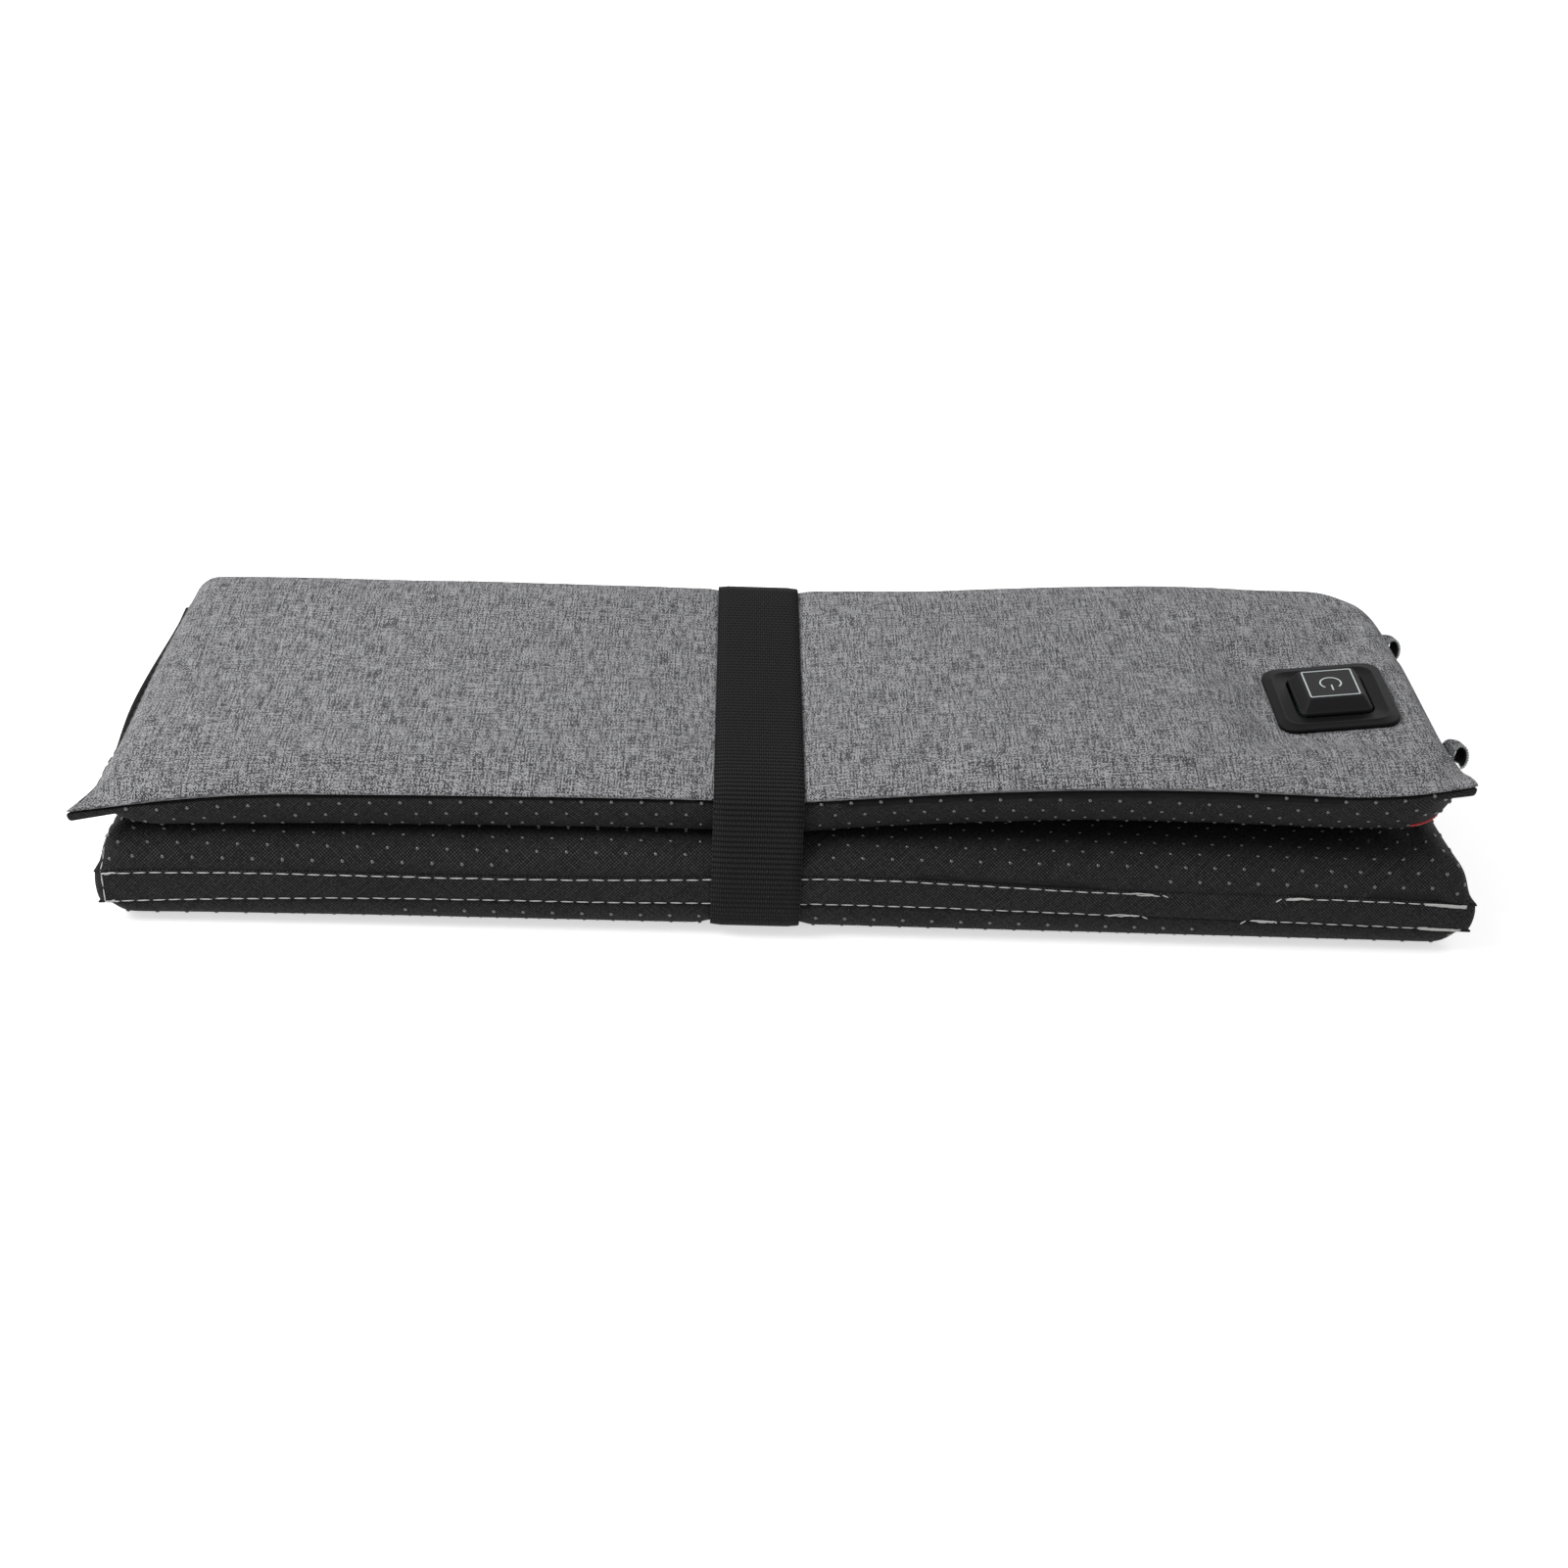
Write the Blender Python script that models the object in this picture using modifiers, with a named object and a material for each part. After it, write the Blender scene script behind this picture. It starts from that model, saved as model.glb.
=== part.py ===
"""A heated seat cushion of three hinged pads, folded in three like a letter and held by an elastic strap.

Axes: +X along the folded pack, +Y to its back, +Z up. The origin is at the middle of its footprint.
The pads are called bottom, middle and top as they lie folded. Each has a grey woven cover on its heated
side and a black non-slip cover on the other. Bottom and middle are hinged at the front, middle and top
at the back. The hinges are flat strips of the cover cloth between two seams.
"""

import math

import bmesh
import bpy
from mathutils import Matrix, Vector

MM = 0.001

# The cushion
PAD_LENGTH = 388 * MM
PAD_DEPTH = 128 * MM
PAD_THICKNESS = 15 * MM
CLEARANCE = 0.3 * MM
SEAT = CLEARANCE / 2

# Covers
CLOTH = 0.8 * MM
SEAM_LIP = 1.1 * MM
SIDE_ROUND = 10 * MM
CORNER_ROUND = 20 * MM
END_PULL = 2.5 * MM
MOUTH_PULL = 4.5 * MM
TOP_TAPER = 5 * MM
FREE_EDGE_PULL = 5 * MM
BACK_SEAM_HEIGHT = 7.5 * MM
CROWN = 3 * MM

# Fold hinges
HINGE_WIDTH = 7.3 * MM
HINGE_STANDOFF = 1.5 * MM
LINING_SETBACK = 3.0 * MM
LINING_HEIGHT = 3.4 * MM
HINGE_END_GAP = 4 * MM

# The top pad's free front edge and its thick right end
FRONT_SEAM_BELOW_TOP = 2 * MM
FRONT_UNDER_ROUND = 7 * MM
SWOLLEN_UNDER_ROUND = 16 * MM
CORNER_DROOP = 6 * MM
LEFT_DROOP_LENGTH = 60 * MM
RIGHT_DROOP_LENGTH = 30 * MM
SWELL_FRONT = 8.5 * MM
SWELL_BACK = 5.8 * MM
SWELL_END_INSET = 64 * MM

# Pocket mouth in the top pad's right end
MOUTH_Y = 5 * MM
MOUTH_HALF = 30 * MM
MOUTH_OPENING = 3.6 * MM
MOUTH_HEIGHT = 42.5 * MM

# Foam and heating layer
FOAM_INSET = 8 * MM
FOAM_ROUND = 18 * MM
FOAM_EDGE_ROUND = 3.5 * MM
FELT_THICKNESS = 0.6 * MM
FELT_INSET = 13 * MM
FELT_ROUND = 12 * MM
HEATER_DIAMETER = 1.6 * MM
HEATER_ROWS = 6
HEATER_SIDE_MARGIN = 19 * MM
HEATER_END_MARGIN = 30 * MM
LEAD_END_INSET = 76 * MM
LEAD_DIAMETER = 1.4 * MM
LEAD_TAIL = 5.6 * MM
LEAD_ROUTE_SHARES = ((0.12, 0, 0.3), (0.4, 0.25, 0.9), (0.7, 0.8, 1), (0.88, 1, 1), (1, 1, 1))
POCKET_SIDE_GAP = 8 * MM

# Controller, in its own frame: origin on the cover under the flange, tilted with the swollen end
CONTROLLER_END_INSET = 34.5 * MM
CONTROLLER_Y = -11 * MM
CONTROLLER_RISE = 9 * MM
CONTROLLER_TILT_DEG = 7
FLANGE_MARGIN = 1 * MM
FLANGE_BLEND = 14 * MM
FLANGE_SIZE = 34 * MM
FLANGE_THICKNESS = 1.2 * MM
FLANGE_CORNER = 5 * MM
RIM_INSET = 2.4 * MM
RIM_WIDTH = 1.2 * MM
RIM_HEIGHT = 0.4 * MM
BUTTON_BASE = 21 * MM
BUTTON_TOP = 15.2 * MM
BUTTON_HEIGHT = 5.6 * MM
BUTTON_FOOT = 1.2 * MM
BUTTON_EDGE = 0.5 * MM
BUTTON_TRAVEL = 0.8 * MM
BUTTON_SKIRT = 1.8 * MM
BUTTON_WALL = 1.2 * MM
STEM_SIZE = 5 * MM
CASE_SIZE = 29 * MM
CASE_WALL = 1.2 * MM
CASE_HEIGHT = 6.6 * MM
CASE_CORNER = 2.5 * MM
BOARD_THICKNESS = 1.0 * MM
BOARD_POST = 0.9 * MM
SWITCH_SIZE = 6 * MM
SWITCH_HEIGHT = 1.4 * MM
PLUNGER_DIAMETER = 3 * MM
PLUNGER_HEIGHT = 0.6 * MM
LAMP_SIZE = 1.6 * MM
LAMP_HEIGHT = 0.7 * MM
LAMP_OFFSET = 6.5 * MM
CUTOUT_LENGTH = 9 * MM
CUTOUT_DEPTH = 4 * MM
CUTOUT_HEIGHT = 1.6 * MM

# Pocket
POCKET_WIDTH = 64 * MM
POCKET_DEPTH = 88 * MM
POCKET_HEIGHT = 3.0 * MM
POCKET_CLOTH = 0.5 * MM
POCKET_MOUTH_INSET = 14 * MM
BINDING_WIDTH = 2.4 * MM
BINDING_THICKNESS = 0.6 * MM
TAB_RADIUS = 3.4 * MM
TAB_LENGTH = 9 * MM
TAB_TURN_DEG = 235
TAB_START_DEG = 190
TAB_STEPS = 9

# Strap
STRAP_WIDTH = 25.3 * MM
STRAP_THICKNESS = 1.2 * MM
STRAP_X = -9 * MM
STRAP_OVERLAP = 22 * MM
STRAP_OVERLAP_Z = 20 * MM
PRESS_MARGIN = 0.7 * MM
PRESS_RAMP = 2.5 * MM
TOP_PRESS = 0.8 * MM
FLOOR_LIFT = 0.1 * MM

# Mesh density
ROUND_STEPS = 3
SHORT_CELL = 24 * MM
LONG_CELL = 38 * MM
TURN_STEPS = 6
OVERRUN = 3 * MM

HALF_LENGTH = PAD_LENGTH / 2
HALF_DEPTH = PAD_DEPTH / 2
SWELL_START = STRAP_X + STRAP_WIDTH / 2
SWELL_LENGTH = HALF_LENGTH - SWELL_END_INSET - SWELL_START
CONTROLLER_X = HALF_LENGTH - CONTROLLER_END_INSET
CONTROLLER_LEVEL = 3 * PAD_THICKNESS + CONTROLLER_RISE
CONTROLLER_SLOPE = math.tan(math.radians(CONTROLLER_TILT_DEG))
POCKET_RIGHT = HALF_LENGTH - POCKET_MOUTH_INSET
POCKET_LEFT = POCKET_RIGHT - POCKET_DEPTH
HEATER_PITCH = (PAD_DEPTH - 2 * HEATER_SIDE_MARGIN) / (HEATER_ROWS - 1)
LEAD_X = HALF_LENGTH - LEAD_END_INSET
FLOORS = {"bottom": 0, "middle": PAD_THICKNESS, "top": 2 * PAD_THICKNESS}
GREY_UP = {"bottom": True, "middle": False, "top": True}
LAYER_TOP = CLOTH + CLEARANCE
FELT_TOP = LAYER_TOP + HEATER_DIAMETER + CLEARANCE
FOAM_TOP = FELT_TOP + FELT_THICKNESS + CLEARANCE
HEATER_DROP = LAYER_TOP + HEATER_DIAMETER / 2
PRESS_DEPTH = STRAP_THICKNESS + CLEARANCE + FLOOR_LIFT

COLLECTION = "heated_seat_cushion"


def clear_scene():
    for item in list(bpy.data.objects):
        bpy.data.objects.remove(item, do_unlink=True)
    for group in list(bpy.data.collections):
        bpy.data.collections.remove(group)


def add_collection(name):
    group = bpy.data.collections.new(name)
    bpy.context.scene.collection.children.link(group)
    return group


def finish_material(name, color, roughness, metallic=0.0):
    made = bpy.data.materials.new(name)
    made.use_nodes = True
    shader = made.node_tree.nodes["Principled BSDF"]
    shader.inputs["Base Color"].default_value = (*color, 1)
    shader.inputs["Roughness"].default_value = roughness
    shader.inputs["Metallic"].default_value = metallic
    made.diffuse_color = (*color, 1)
    return made


def link(item, material, parent=None, group=COLLECTION):
    """Puts an object whose mesh is in world coordinates under its body's empty, without moving it."""
    bpy.data.collections[group].objects.link(item)
    item.data.materials.append(material)
    if parent is not None:
        item.parent = parent
        item.matrix_parent_inverse = parent.matrix_world.inverted()
    return item


def add_empty(name, place, parent=None, tilt=0.0):
    empty = bpy.data.objects.new(name, None)
    bpy.data.collections[COLLECTION].objects.link(empty)
    world = Matrix.Translation(place) @ Matrix.Rotation(tilt, 4, "Y")
    if parent is not None:
        empty.parent = parent
        empty.matrix_parent_inverse = parent.matrix_world.inverted()
    empty.matrix_basis = world
    bpy.context.view_layer.update()
    return empty


def object_from(name, mesh_builder, material, parent=None, local=False):
    """Makes an object from a bmesh. With local, its coordinates are in the parent's frame."""
    mesh = bpy.data.meshes.new(name)
    mesh_builder.to_mesh(mesh)
    mesh_builder.free()
    item = link(bpy.data.objects.new(name, mesh), material, None if local else parent)
    if local:
        item.parent = parent
    return item


def share(value, start, length):
    return min(max((value - start) / length, 0.0), 1.0)


def smooth(value):
    return value * value * (3 - 2 * value)


def rise(distance, radius):
    """Height of a quarter round, from 0 at the edge to 1 at its radius."""
    return math.sqrt(1 - (1 - share(distance, 0, radius)) ** 2)


def edge_distance(x, y):
    """How far inside the pad's rounded foam outline a point lies."""
    qx = abs(x) - (HALF_LENGTH - CORNER_ROUND)
    qy = abs(y) - (HALF_DEPTH - CORNER_ROUND)
    return CORNER_ROUND - math.hypot(max(qx, 0), max(qy, 0)) - min(max(qx, qy), 0)


def swell_share(x):
    """How far the top pad has swollen between the strap and its right end."""
    return math.sin(math.pi / 2 * share(x, SWELL_START, SWELL_LENGTH))


def swell(x, y):
    """Extra height over the controller and pocket, most along the free front edge."""
    towards_front = share(-y, -HALF_DEPTH, PAD_DEPTH)
    return swell_share(x) * (SWELL_BACK + (SWELL_FRONT - SWELL_BACK) * towards_front)


def press(x, depth):
    """Depth that the strap presses into the pad at x."""
    half = STRAP_WIDTH / 2 + PRESS_MARGIN
    return depth * (1 - share(abs(x - STRAP_X), half, PRESS_RAMP))


def front_seam(pad, x):
    if pad == "bottom":
        return PAD_THICKNESS - HINGE_WIDTH / 2
    if pad == "middle":
        return PAD_THICKNESS + HINGE_WIDTH / 2
    length = LEFT_DROOP_LENGTH if x < 0 else RIGHT_DROOP_LENGTH
    droop = CORNER_DROOP * share(abs(x), HALF_LENGTH - length, length) ** 2
    return 3 * PAD_THICKNESS - FRONT_SEAM_BELOW_TOP + swell(x, -HALF_DEPTH) - droop


def back_seam(pad):
    if pad == "bottom":
        return BACK_SEAM_HEIGHT
    if pad == "middle":
        return 2 * PAD_THICKNESS - HINGE_WIDTH / 2
    return 2 * PAD_THICKNESS + HINGE_WIDTH / 2


def seam_height(pad, x, y):
    """Height of the seam between the two covers, carried inwards from the pad's outline."""
    front, back = front_seam(pad, x), back_seam(pad)
    across = front + (back - front) * smooth(share(y, -HALF_DEPTH, PAD_DEPTH))
    if pad != "top" or x < 0:
        return across
    side, corner = (-1, front) if y < MOUTH_Y else (1, back)
    beside = HALF_DEPTH - side * MOUTH_Y - MOUTH_HALF
    mouth = MOUTH_HEIGHT + (corner - MOUTH_HEIGHT) * smooth(share(side * (y - MOUTH_Y), MOUTH_HALF, beside))
    blend = smooth(share(x, HALF_LENGTH - CORNER_ROUND, CORNER_ROUND))
    return across + (mouth - across) * blend


def face_height(pad, x, y, upper):
    """Height of the pad's flat or crowned face, away from its edges."""
    if not upper:
        lift = press(x, PRESS_DEPTH) if pad == "bottom" else SEAT
        return FLOORS[pad] + lift
    if pad != "top":
        return FLOORS[pad] + PAD_THICKNESS - SEAT
    belly = (1 - (x / HALF_LENGTH) ** 4) * (1 - (y / HALF_DEPTH) ** 4)
    crown = CROWN * math.sqrt(max(belly, 0))
    crowned = 3 * PAD_THICKNESS - SEAT + crown + swell(x, y) - press(x, TOP_PRESS)
    place_x, place_y = pulled(pad, x, y, True)
    outside = max(abs(place_x - CONTROLLER_X), abs(place_y - CONTROLLER_Y)) - FLANGE_SIZE / 2
    flat = 1 - smooth(share(outside, 2 * FLANGE_MARGIN, FLANGE_BLEND))
    plane = CONTROLLER_LEVEL + (place_x - CONTROLLER_X) * CONTROLLER_SLOPE
    return crowned + (plane - crowned) * flat


def side_radius(pad, upper, x, y):
    if pad == "top" and not upper and y < 0:
        return FRONT_UNDER_ROUND + (SWOLLEN_UNDER_ROUND - FRONT_UNDER_ROUND) * swell_share(x)
    return SIDE_ROUND


def mouth_gap(pad, x, y):
    """Half of the gap between the covers' rims: the pocket's mouth at the right end, a seam elsewhere."""
    if pad != "top" or x < HALF_LENGTH - SEAT:
        return SEAT
    return SEAT + MOUTH_OPENING / 2 * math.sqrt(max(1 - ((y - MOUTH_Y) / MOUTH_HALF) ** 2, 0))


def cover_height(pad, x, y, upper):
    """Outer height of a cover at a point of the pad's unpulled rectangle."""
    seam = seam_height(pad, x, y)
    lip = (CLOTH + SEAT) * (1 if upper else -1)
    lifted = rise(edge_distance(x, y), side_radius(pad, upper, x, y))
    return seam + lip + (face_height(pad, x, y, upper) - seam - lip) * lifted


def end_pull(pad, x, y):
    """How far an end is drawn in between its corners, and the top pad's ends also towards its hinge."""
    depth = MOUTH_PULL if pad == "top" and x > 0 else END_PULL
    taper = TOP_TAPER if pad == "top" else 0
    return depth * (1 - (y / HALF_DEPTH) ** 4) + taper * share(y, 0, HALF_DEPTH) ** 2


def edge_pull(pad, along, at_front, grey):
    """How far a cover's long edge lies inside the pad: drawn in where free, set back inside a hinge."""
    if (pad, at_front) in (("top", True), ("bottom", False)):
        return FREE_EDGE_PULL * (1 - along ** 2)
    inner_cover = grey if at_front else not grey
    return LINING_SETBACK if inner_cover else 0


def pulled(pad, x, y, grey):
    """Moves a point of the rectangle to the sewn outline."""
    along, across = x / HALF_LENGTH, y / HALF_DEPTH
    return x - along * end_pull(pad, x, y), y - across * edge_pull(pad, along, y < 0, grey)


def stations(half, cell, extra=()):
    """Places of the grid lines along one side: close together over the rounded edge, then even."""
    inner = max(half - CORNER_ROUND, *extra) if extra else half - CORNER_ROUND
    edge = [SIDE_ROUND * (1 - math.cos(math.pi / 2 * i / ROUND_STEPS)) for i in range(ROUND_STEPS + 1)]
    marks = sorted({CORNER_ROUND - half, half - CORNER_ROUND, inner, *extra})
    middle = []
    for low, high in zip(marks, marks[1:]):
        count = max(1, round((high - low) / cell))
        middle += [low + (high - low) * i / count for i in range(count)]
    left = [-half + s for s in edge]
    return left + middle + [inner] + [-value for value in reversed(left)]


def grid_marks(pad):
    """Grid lines where the strap's press begins and ends, and round the flat place under the flange."""
    if pad == "middle":
        return (), ()
    half = STRAP_WIDTH / 2 + PRESS_MARGIN
    across_strap = [STRAP_X + side * (half + ramp) for side in (-1, 1) for ramp in (0, PRESS_RAMP)]
    if pad == "bottom":
        return across_strap, ()
    reach = FLANGE_SIZE / 2 + FLANGE_MARGIN
    unpulled_share = 1 / (1 - MOUTH_PULL / HALF_LENGTH)
    flange_xs = [(CONTROLLER_X + side * reach) * unpulled_share for side in (-1, 1)]
    return across_strap + flange_xs, [CONTROLLER_Y + side * reach for side in (-1, 1)]


def cover(name, pad, upper, material, parent):
    """One cover: a grid shaped to its outer face, a copy set inwards by the cloth, and the rim between."""
    grey = upper == GREY_UP[pad]
    sign = 1 if upper else -1
    inner_share = Vector((1 - SEAM_LIP / HALF_LENGTH, 1 - SEAM_LIP / HALF_DEPTH))
    marks_x, marks_y = grid_marks(pad)
    xs, ys = stations(HALF_LENGTH, LONG_CELL, marks_x), stations(HALF_DEPTH, SHORT_CELL, marks_y)
    made = bmesh.new()
    bmesh.ops.create_grid(made, x_segments=len(xs) - 1, y_segments=len(ys) - 1, size=1)
    made.verts.ensure_lookup_table()
    places = [(xs[i % len(xs)], ys[i // len(xs)]) for i in range(len(made.verts))]
    copy = bmesh.ops.duplicate(made, geom=made.verts[:] + made.edges[:] + made.faces[:])
    for vert, (x, y) in zip(made.verts[: len(places)], places):
        outer_z = cover_height(pad, x, y, upper)
        inner_z = outer_z - sign * CLOTH
        if vert.is_boundary:
            outer_z = inner_z = seam_height(pad, x, y) + sign * mouth_gap(pad, x, y)
        place = Vector(pulled(pad, x, y, grey))
        vert.co = (*place, outer_z)
        copy["vert_map"][vert].co = (*(place * inner_share), inner_z)
    inner_faces = [g for g in copy["geom"] if isinstance(g, bmesh.types.BMFace)]
    bmesh.ops.reverse_faces(made, faces=inner_faces)
    bmesh.ops.bridge_loops(made, edges=[e for e in made.edges if e.is_boundary])
    face_outwards(made)
    return object_from(name, made, material, parent)


def face_outwards(made):
    bmesh.ops.recalc_face_normals(made, faces=made.faces[:])
    if made.calc_volume(signed=True) < 0:
        bmesh.ops.reverse_faces(made, faces=made.faces[:])


def slab(name, low, high, corner, edge, material, parent, local=False):
    """A flat cushion or plate: a cube with rounded upright corners and, if edge is not 0, rounded rims."""
    made = bmesh.new()
    bmesh.ops.create_cube(made, size=1)
    size = Vector(high) - Vector(low)
    bmesh.ops.scale(made, vec=size, verts=made.verts)
    bmesh.ops.translate(made, vec=(Vector(high) + Vector(low)) / 2, verts=made.verts)
    upright = [e for e in made.edges if abs((e.verts[0].co - e.verts[1].co).z) > size.z / 2]
    bmesh.ops.bevel(
        made, geom=upright, offset=corner, segments=4, profile=0.5, affect="EDGES", material=-1
    )
    if edge:
        rims = [e for e in made.edges if abs((e.verts[0].co - e.verts[1].co).z) < edge]
        bmesh.ops.bevel(made, geom=rims, offset=edge, segments=2, profile=0.5, affect="EDGES", material=-1)
    return object_from(name, made, material, parent, local)


def from_grey(pad, depth):
    """Height at a depth below the grey face of a pad."""
    if GREY_UP[pad]:
        return FLOORS[pad] + PAD_THICKNESS - SEAT - depth
    return FLOORS[pad] + SEAT + depth


def inside(pad, inset, ends):
    """Low and high corner of a slab that lies an inset within the pad's drawn-in or set-back outline."""
    front = FREE_EDGE_PULL if pad == "top" else LINING_SETBACK
    back = FREE_EDGE_PULL if pad == "bottom" else LINING_SETBACK
    left, right = (end_pull(pad, side * HALF_LENGTH, 0) for side in (-1, 1))
    if pad == "top":
        left, right = left + TOP_TAPER, right + TOP_TAPER
    low = Vector((-HALF_LENGTH + left + inset, -HALF_DEPTH + front + inset, min(ends)))
    high = Vector((HALF_LENGTH - right - inset, HALF_DEPTH - back - inset, max(ends)))
    return low, high


def foam(pad, material, parent):
    ends = [from_grey(pad, FOAM_TOP), from_grey(pad, PAD_THICKNESS - CLOTH - 2 * CLEARANCE)]
    low, high = inside(pad, FOAM_INSET, ends)
    if pad == "bottom":
        low.z += PRESS_DEPTH
    if pad == "top":
        low.y += SWOLLEN_UNDER_ROUND - SIDE_ROUND
    return slab(f"{pad}_foam", low, high, FOAM_ROUND, FOAM_EDGE_ROUND, material, parent)


def felt(pad, material, parent):
    ends = [from_grey(pad, FELT_TOP), from_grey(pad, FELT_TOP + FELT_THICKNESS)]
    low, high = inside(pad, FELT_INSET, ends)
    if pad == "top":
        high.x = POCKET_LEFT - POCKET_SIDE_GAP / 2
    return slab(f"{pad}_felt", low, high, FELT_ROUND, 0, material, parent)


def tube(name, points, diameter, material, parent):
    """A wire along a list of points, as a closed mesh."""
    curve = bpy.data.curves.new(name, "CURVE")
    curve.dimensions = "3D"
    curve.bevel_depth = diameter / 2
    curve.bevel_resolution = 1
    curve.use_fill_caps = True
    spline = curve.splines.new("POLY")
    spline.points.add(len(points) - 1)
    for place, point in zip(spline.points, points):
        place.co = (*point, 1)
    return link(bpy.data.objects.new(name, curve), material, parent)


def heater_rows(pad):
    """The heating cord's route over the felt: rows along X joined by half turns."""
    z = from_grey(pad, HEATER_DROP)
    low = -HALF_LENGTH + HEATER_END_MARGIN
    high = HALF_LENGTH - HEATER_END_MARGIN
    if pad == "top":
        high = POCKET_LEFT - POCKET_SIDE_GAP - HEATER_PITCH / 2
    radius = HEATER_PITCH / 2
    first = -HEATER_PITCH * (HEATER_ROWS - 1) / 2
    side = -1 if pad == "top" else 1
    points = []
    for row in range(HEATER_ROWS):
        y = side * (first + row * HEATER_PITCH)
        leftwards = row % 2 == 0
        start, end = (high, low) if leftwards else (low, high)
        if row == 0:
            start = LEAD_X
        if row == HEATER_ROWS - 1 and pad != "top":
            end = LEAD_X
        points += [(start, y, z), (end, y, z)]
        if row == HEATER_ROWS - 1:
            break
        for step in range(1, TURN_STEPS):
            angle = math.pi * step / TURN_STEPS
            reach = radius * math.sin(angle) * (-1 if leftwards else 1)
            points.append((end + reach, y + side * radius * (1 - math.cos(angle)), z))
    return points


def heater_tail(pad, side):
    """The cord's way from its first or last row down over the foam's edge to the hinge."""
    edge = side * (HALF_DEPTH - LEAD_TAIL)
    over = side * (HALF_DEPTH - FOAM_INSET - HEATER_DIAMETER)
    row = side * HEATER_PITCH * (HEATER_ROWS - 1) / 2
    deep, shallow = from_grey(pad, HEATER_DROP + HEATER_DIAMETER), from_grey(pad, HEATER_DROP)
    turn = HEATER_PITCH / 4
    return [(LEAD_X, edge, deep), (LEAD_X, over, (deep + shallow) / 2),
            (LEAD_X, over - side * turn, shallow), (LEAD_X, row + side * turn, shallow)]


def heating_cord(pad, material, parent):
    rows = heater_rows(pad)
    ease = HEATER_PITCH / 8
    first = Vector(rows[0])
    rows[0] = tuple(first + Vector((-2 * ease, 0, 0)))
    start_side = 1 if pad == "top" else -1
    corner = tuple(first + Vector((-ease / 2, start_side * ease, 0)))
    points = heater_tail(pad, start_side) + [corner] + rows
    if pad == "middle":
        last = Vector(points[-1])
        points[-1] = tuple(last + Vector((-2 * ease, 0, 0)))
        points.append(tuple(last + Vector((-ease / 2, ease, 0))))
        points += list(reversed(heater_tail(pad, 1)))
    return tube(f"{pad}_heating_cord", points, HEATER_DIAMETER, material, parent)


def strip(name, rows, width, material, parent):
    """A flat strip along X: its profile points in Y and Z, extruded and given the cloth's thickness."""
    made = bmesh.new()
    verts = [made.verts.new((-width / 2, y, z)) for y, z in rows]
    edges = [made.edges.new(pair) for pair in zip(verts, verts[1:])]
    grown = bmesh.ops.extrude_edge_only(made, edges=edges)["geom"]
    moved = [g for g in grown if isinstance(g, bmesh.types.BMVert)]
    bmesh.ops.translate(made, vec=(width, 0, 0), verts=moved)
    item = object_from(name, made, material, parent)
    wall = item.modifiers.new("cloth", "SOLIDIFY")
    wall.thickness = CLOTH
    wall.offset = 0
    return item


def hinge_cloth(which, outer, lining, parent):
    """The two cloth layers of a fold hinge: the outer one flush with the pads, the lining behind it."""
    side = -1 if which == "front" else 1
    level = PAD_THICKNESS if which == "front" else 2 * PAD_THICKNESS
    half = HINGE_WIDTH / 2 - SEAT - CLEARANCE
    face = side * (HALF_DEPTH - CLOTH / 2)
    width = PAD_LENGTH - HINGE_END_GAP
    rows = [(face, level + half * step) for step in (-1, 0, 1)]
    strip(f"{which}_hinge_cloth", rows, width, outer, parent)
    inner = side * (HALF_DEPTH - LINING_SETBACK - CLOTH / 2)
    rows = [(inner, level + LINING_HEIGHT / 2 * step) for step in (-1, 0, 1)]
    strip(f"{which}_hinge_lining", rows, width, lining, parent)


def jumper_lead(which, material, parent):
    """The lead that carries current over a fold, between the hinge's two cloth layers."""
    side = -1 if which == "front" else 1
    level = PAD_THICKNESS if which == "front" else 2 * PAD_THICKNESS
    channel = side * (HALF_DEPTH - (CLOTH + LINING_SETBACK) / 2)
    deep = side * (HALF_DEPTH - LEAD_TAIL)
    grey_below = which == "front"
    drop = HEATER_DROP + HEATER_DIAMETER * 2 + CLEARANCE
    far = PAD_THICKNESS - drop if not grey_below else drop
    neck = HINGE_WIDTH / 2
    half = [(deep, level + far), (channel + (deep - channel) / 2, level + (far + neck) / 2),
            (channel, level + neck)]
    below = [(LEAD_X, y, 2 * level - z) for y, z in half]
    above = [(LEAD_X, y, z) for y, z in reversed(half)]
    tube(f"{which}_jumper_lead", below + above, LEAD_DIAMETER, material, parent)


def rounded_plate(made, size, thickness, low, corner, segments=3):
    """Adds a square plate with rounded corners, its underside at height low."""
    cube = bmesh.ops.create_cube(made, size=1)["verts"]
    bmesh.ops.scale(made, vec=(size, size, thickness), verts=cube)
    bmesh.ops.translate(made, vec=(0, 0, low + thickness / 2), verts=cube)
    edges = {e for v in cube for e in v.link_edges}
    upright = [e for e in edges if abs((e.verts[0].co - e.verts[1].co).z) > thickness / 2]
    bmesh.ops.bevel(
        made, geom=upright, offset=corner, segments=segments, profile=0.5, affect="EDGES", material=-1
    )


def boolean(item, other, operation):
    step = item.modifiers.new(operation.lower(), "BOOLEAN")
    step.operation = operation
    step.solver = "EXACT"
    step.object = other


def cutter(name, made, parent, local=False):
    """A cutting or joining body. With local, its coordinates are in the parent's frame."""
    mesh = bpy.data.meshes.new(name)
    made.to_mesh(mesh)
    made.free()
    item = bpy.data.objects.new(name, mesh)
    bpy.data.collections["cutters"].objects.link(item)
    item.parent = parent
    if not local:
        item.matrix_parent_inverse = parent.matrix_world.inverted()
    item.hide_render = True
    item.display_type = "WIRE"
    return item


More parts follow.
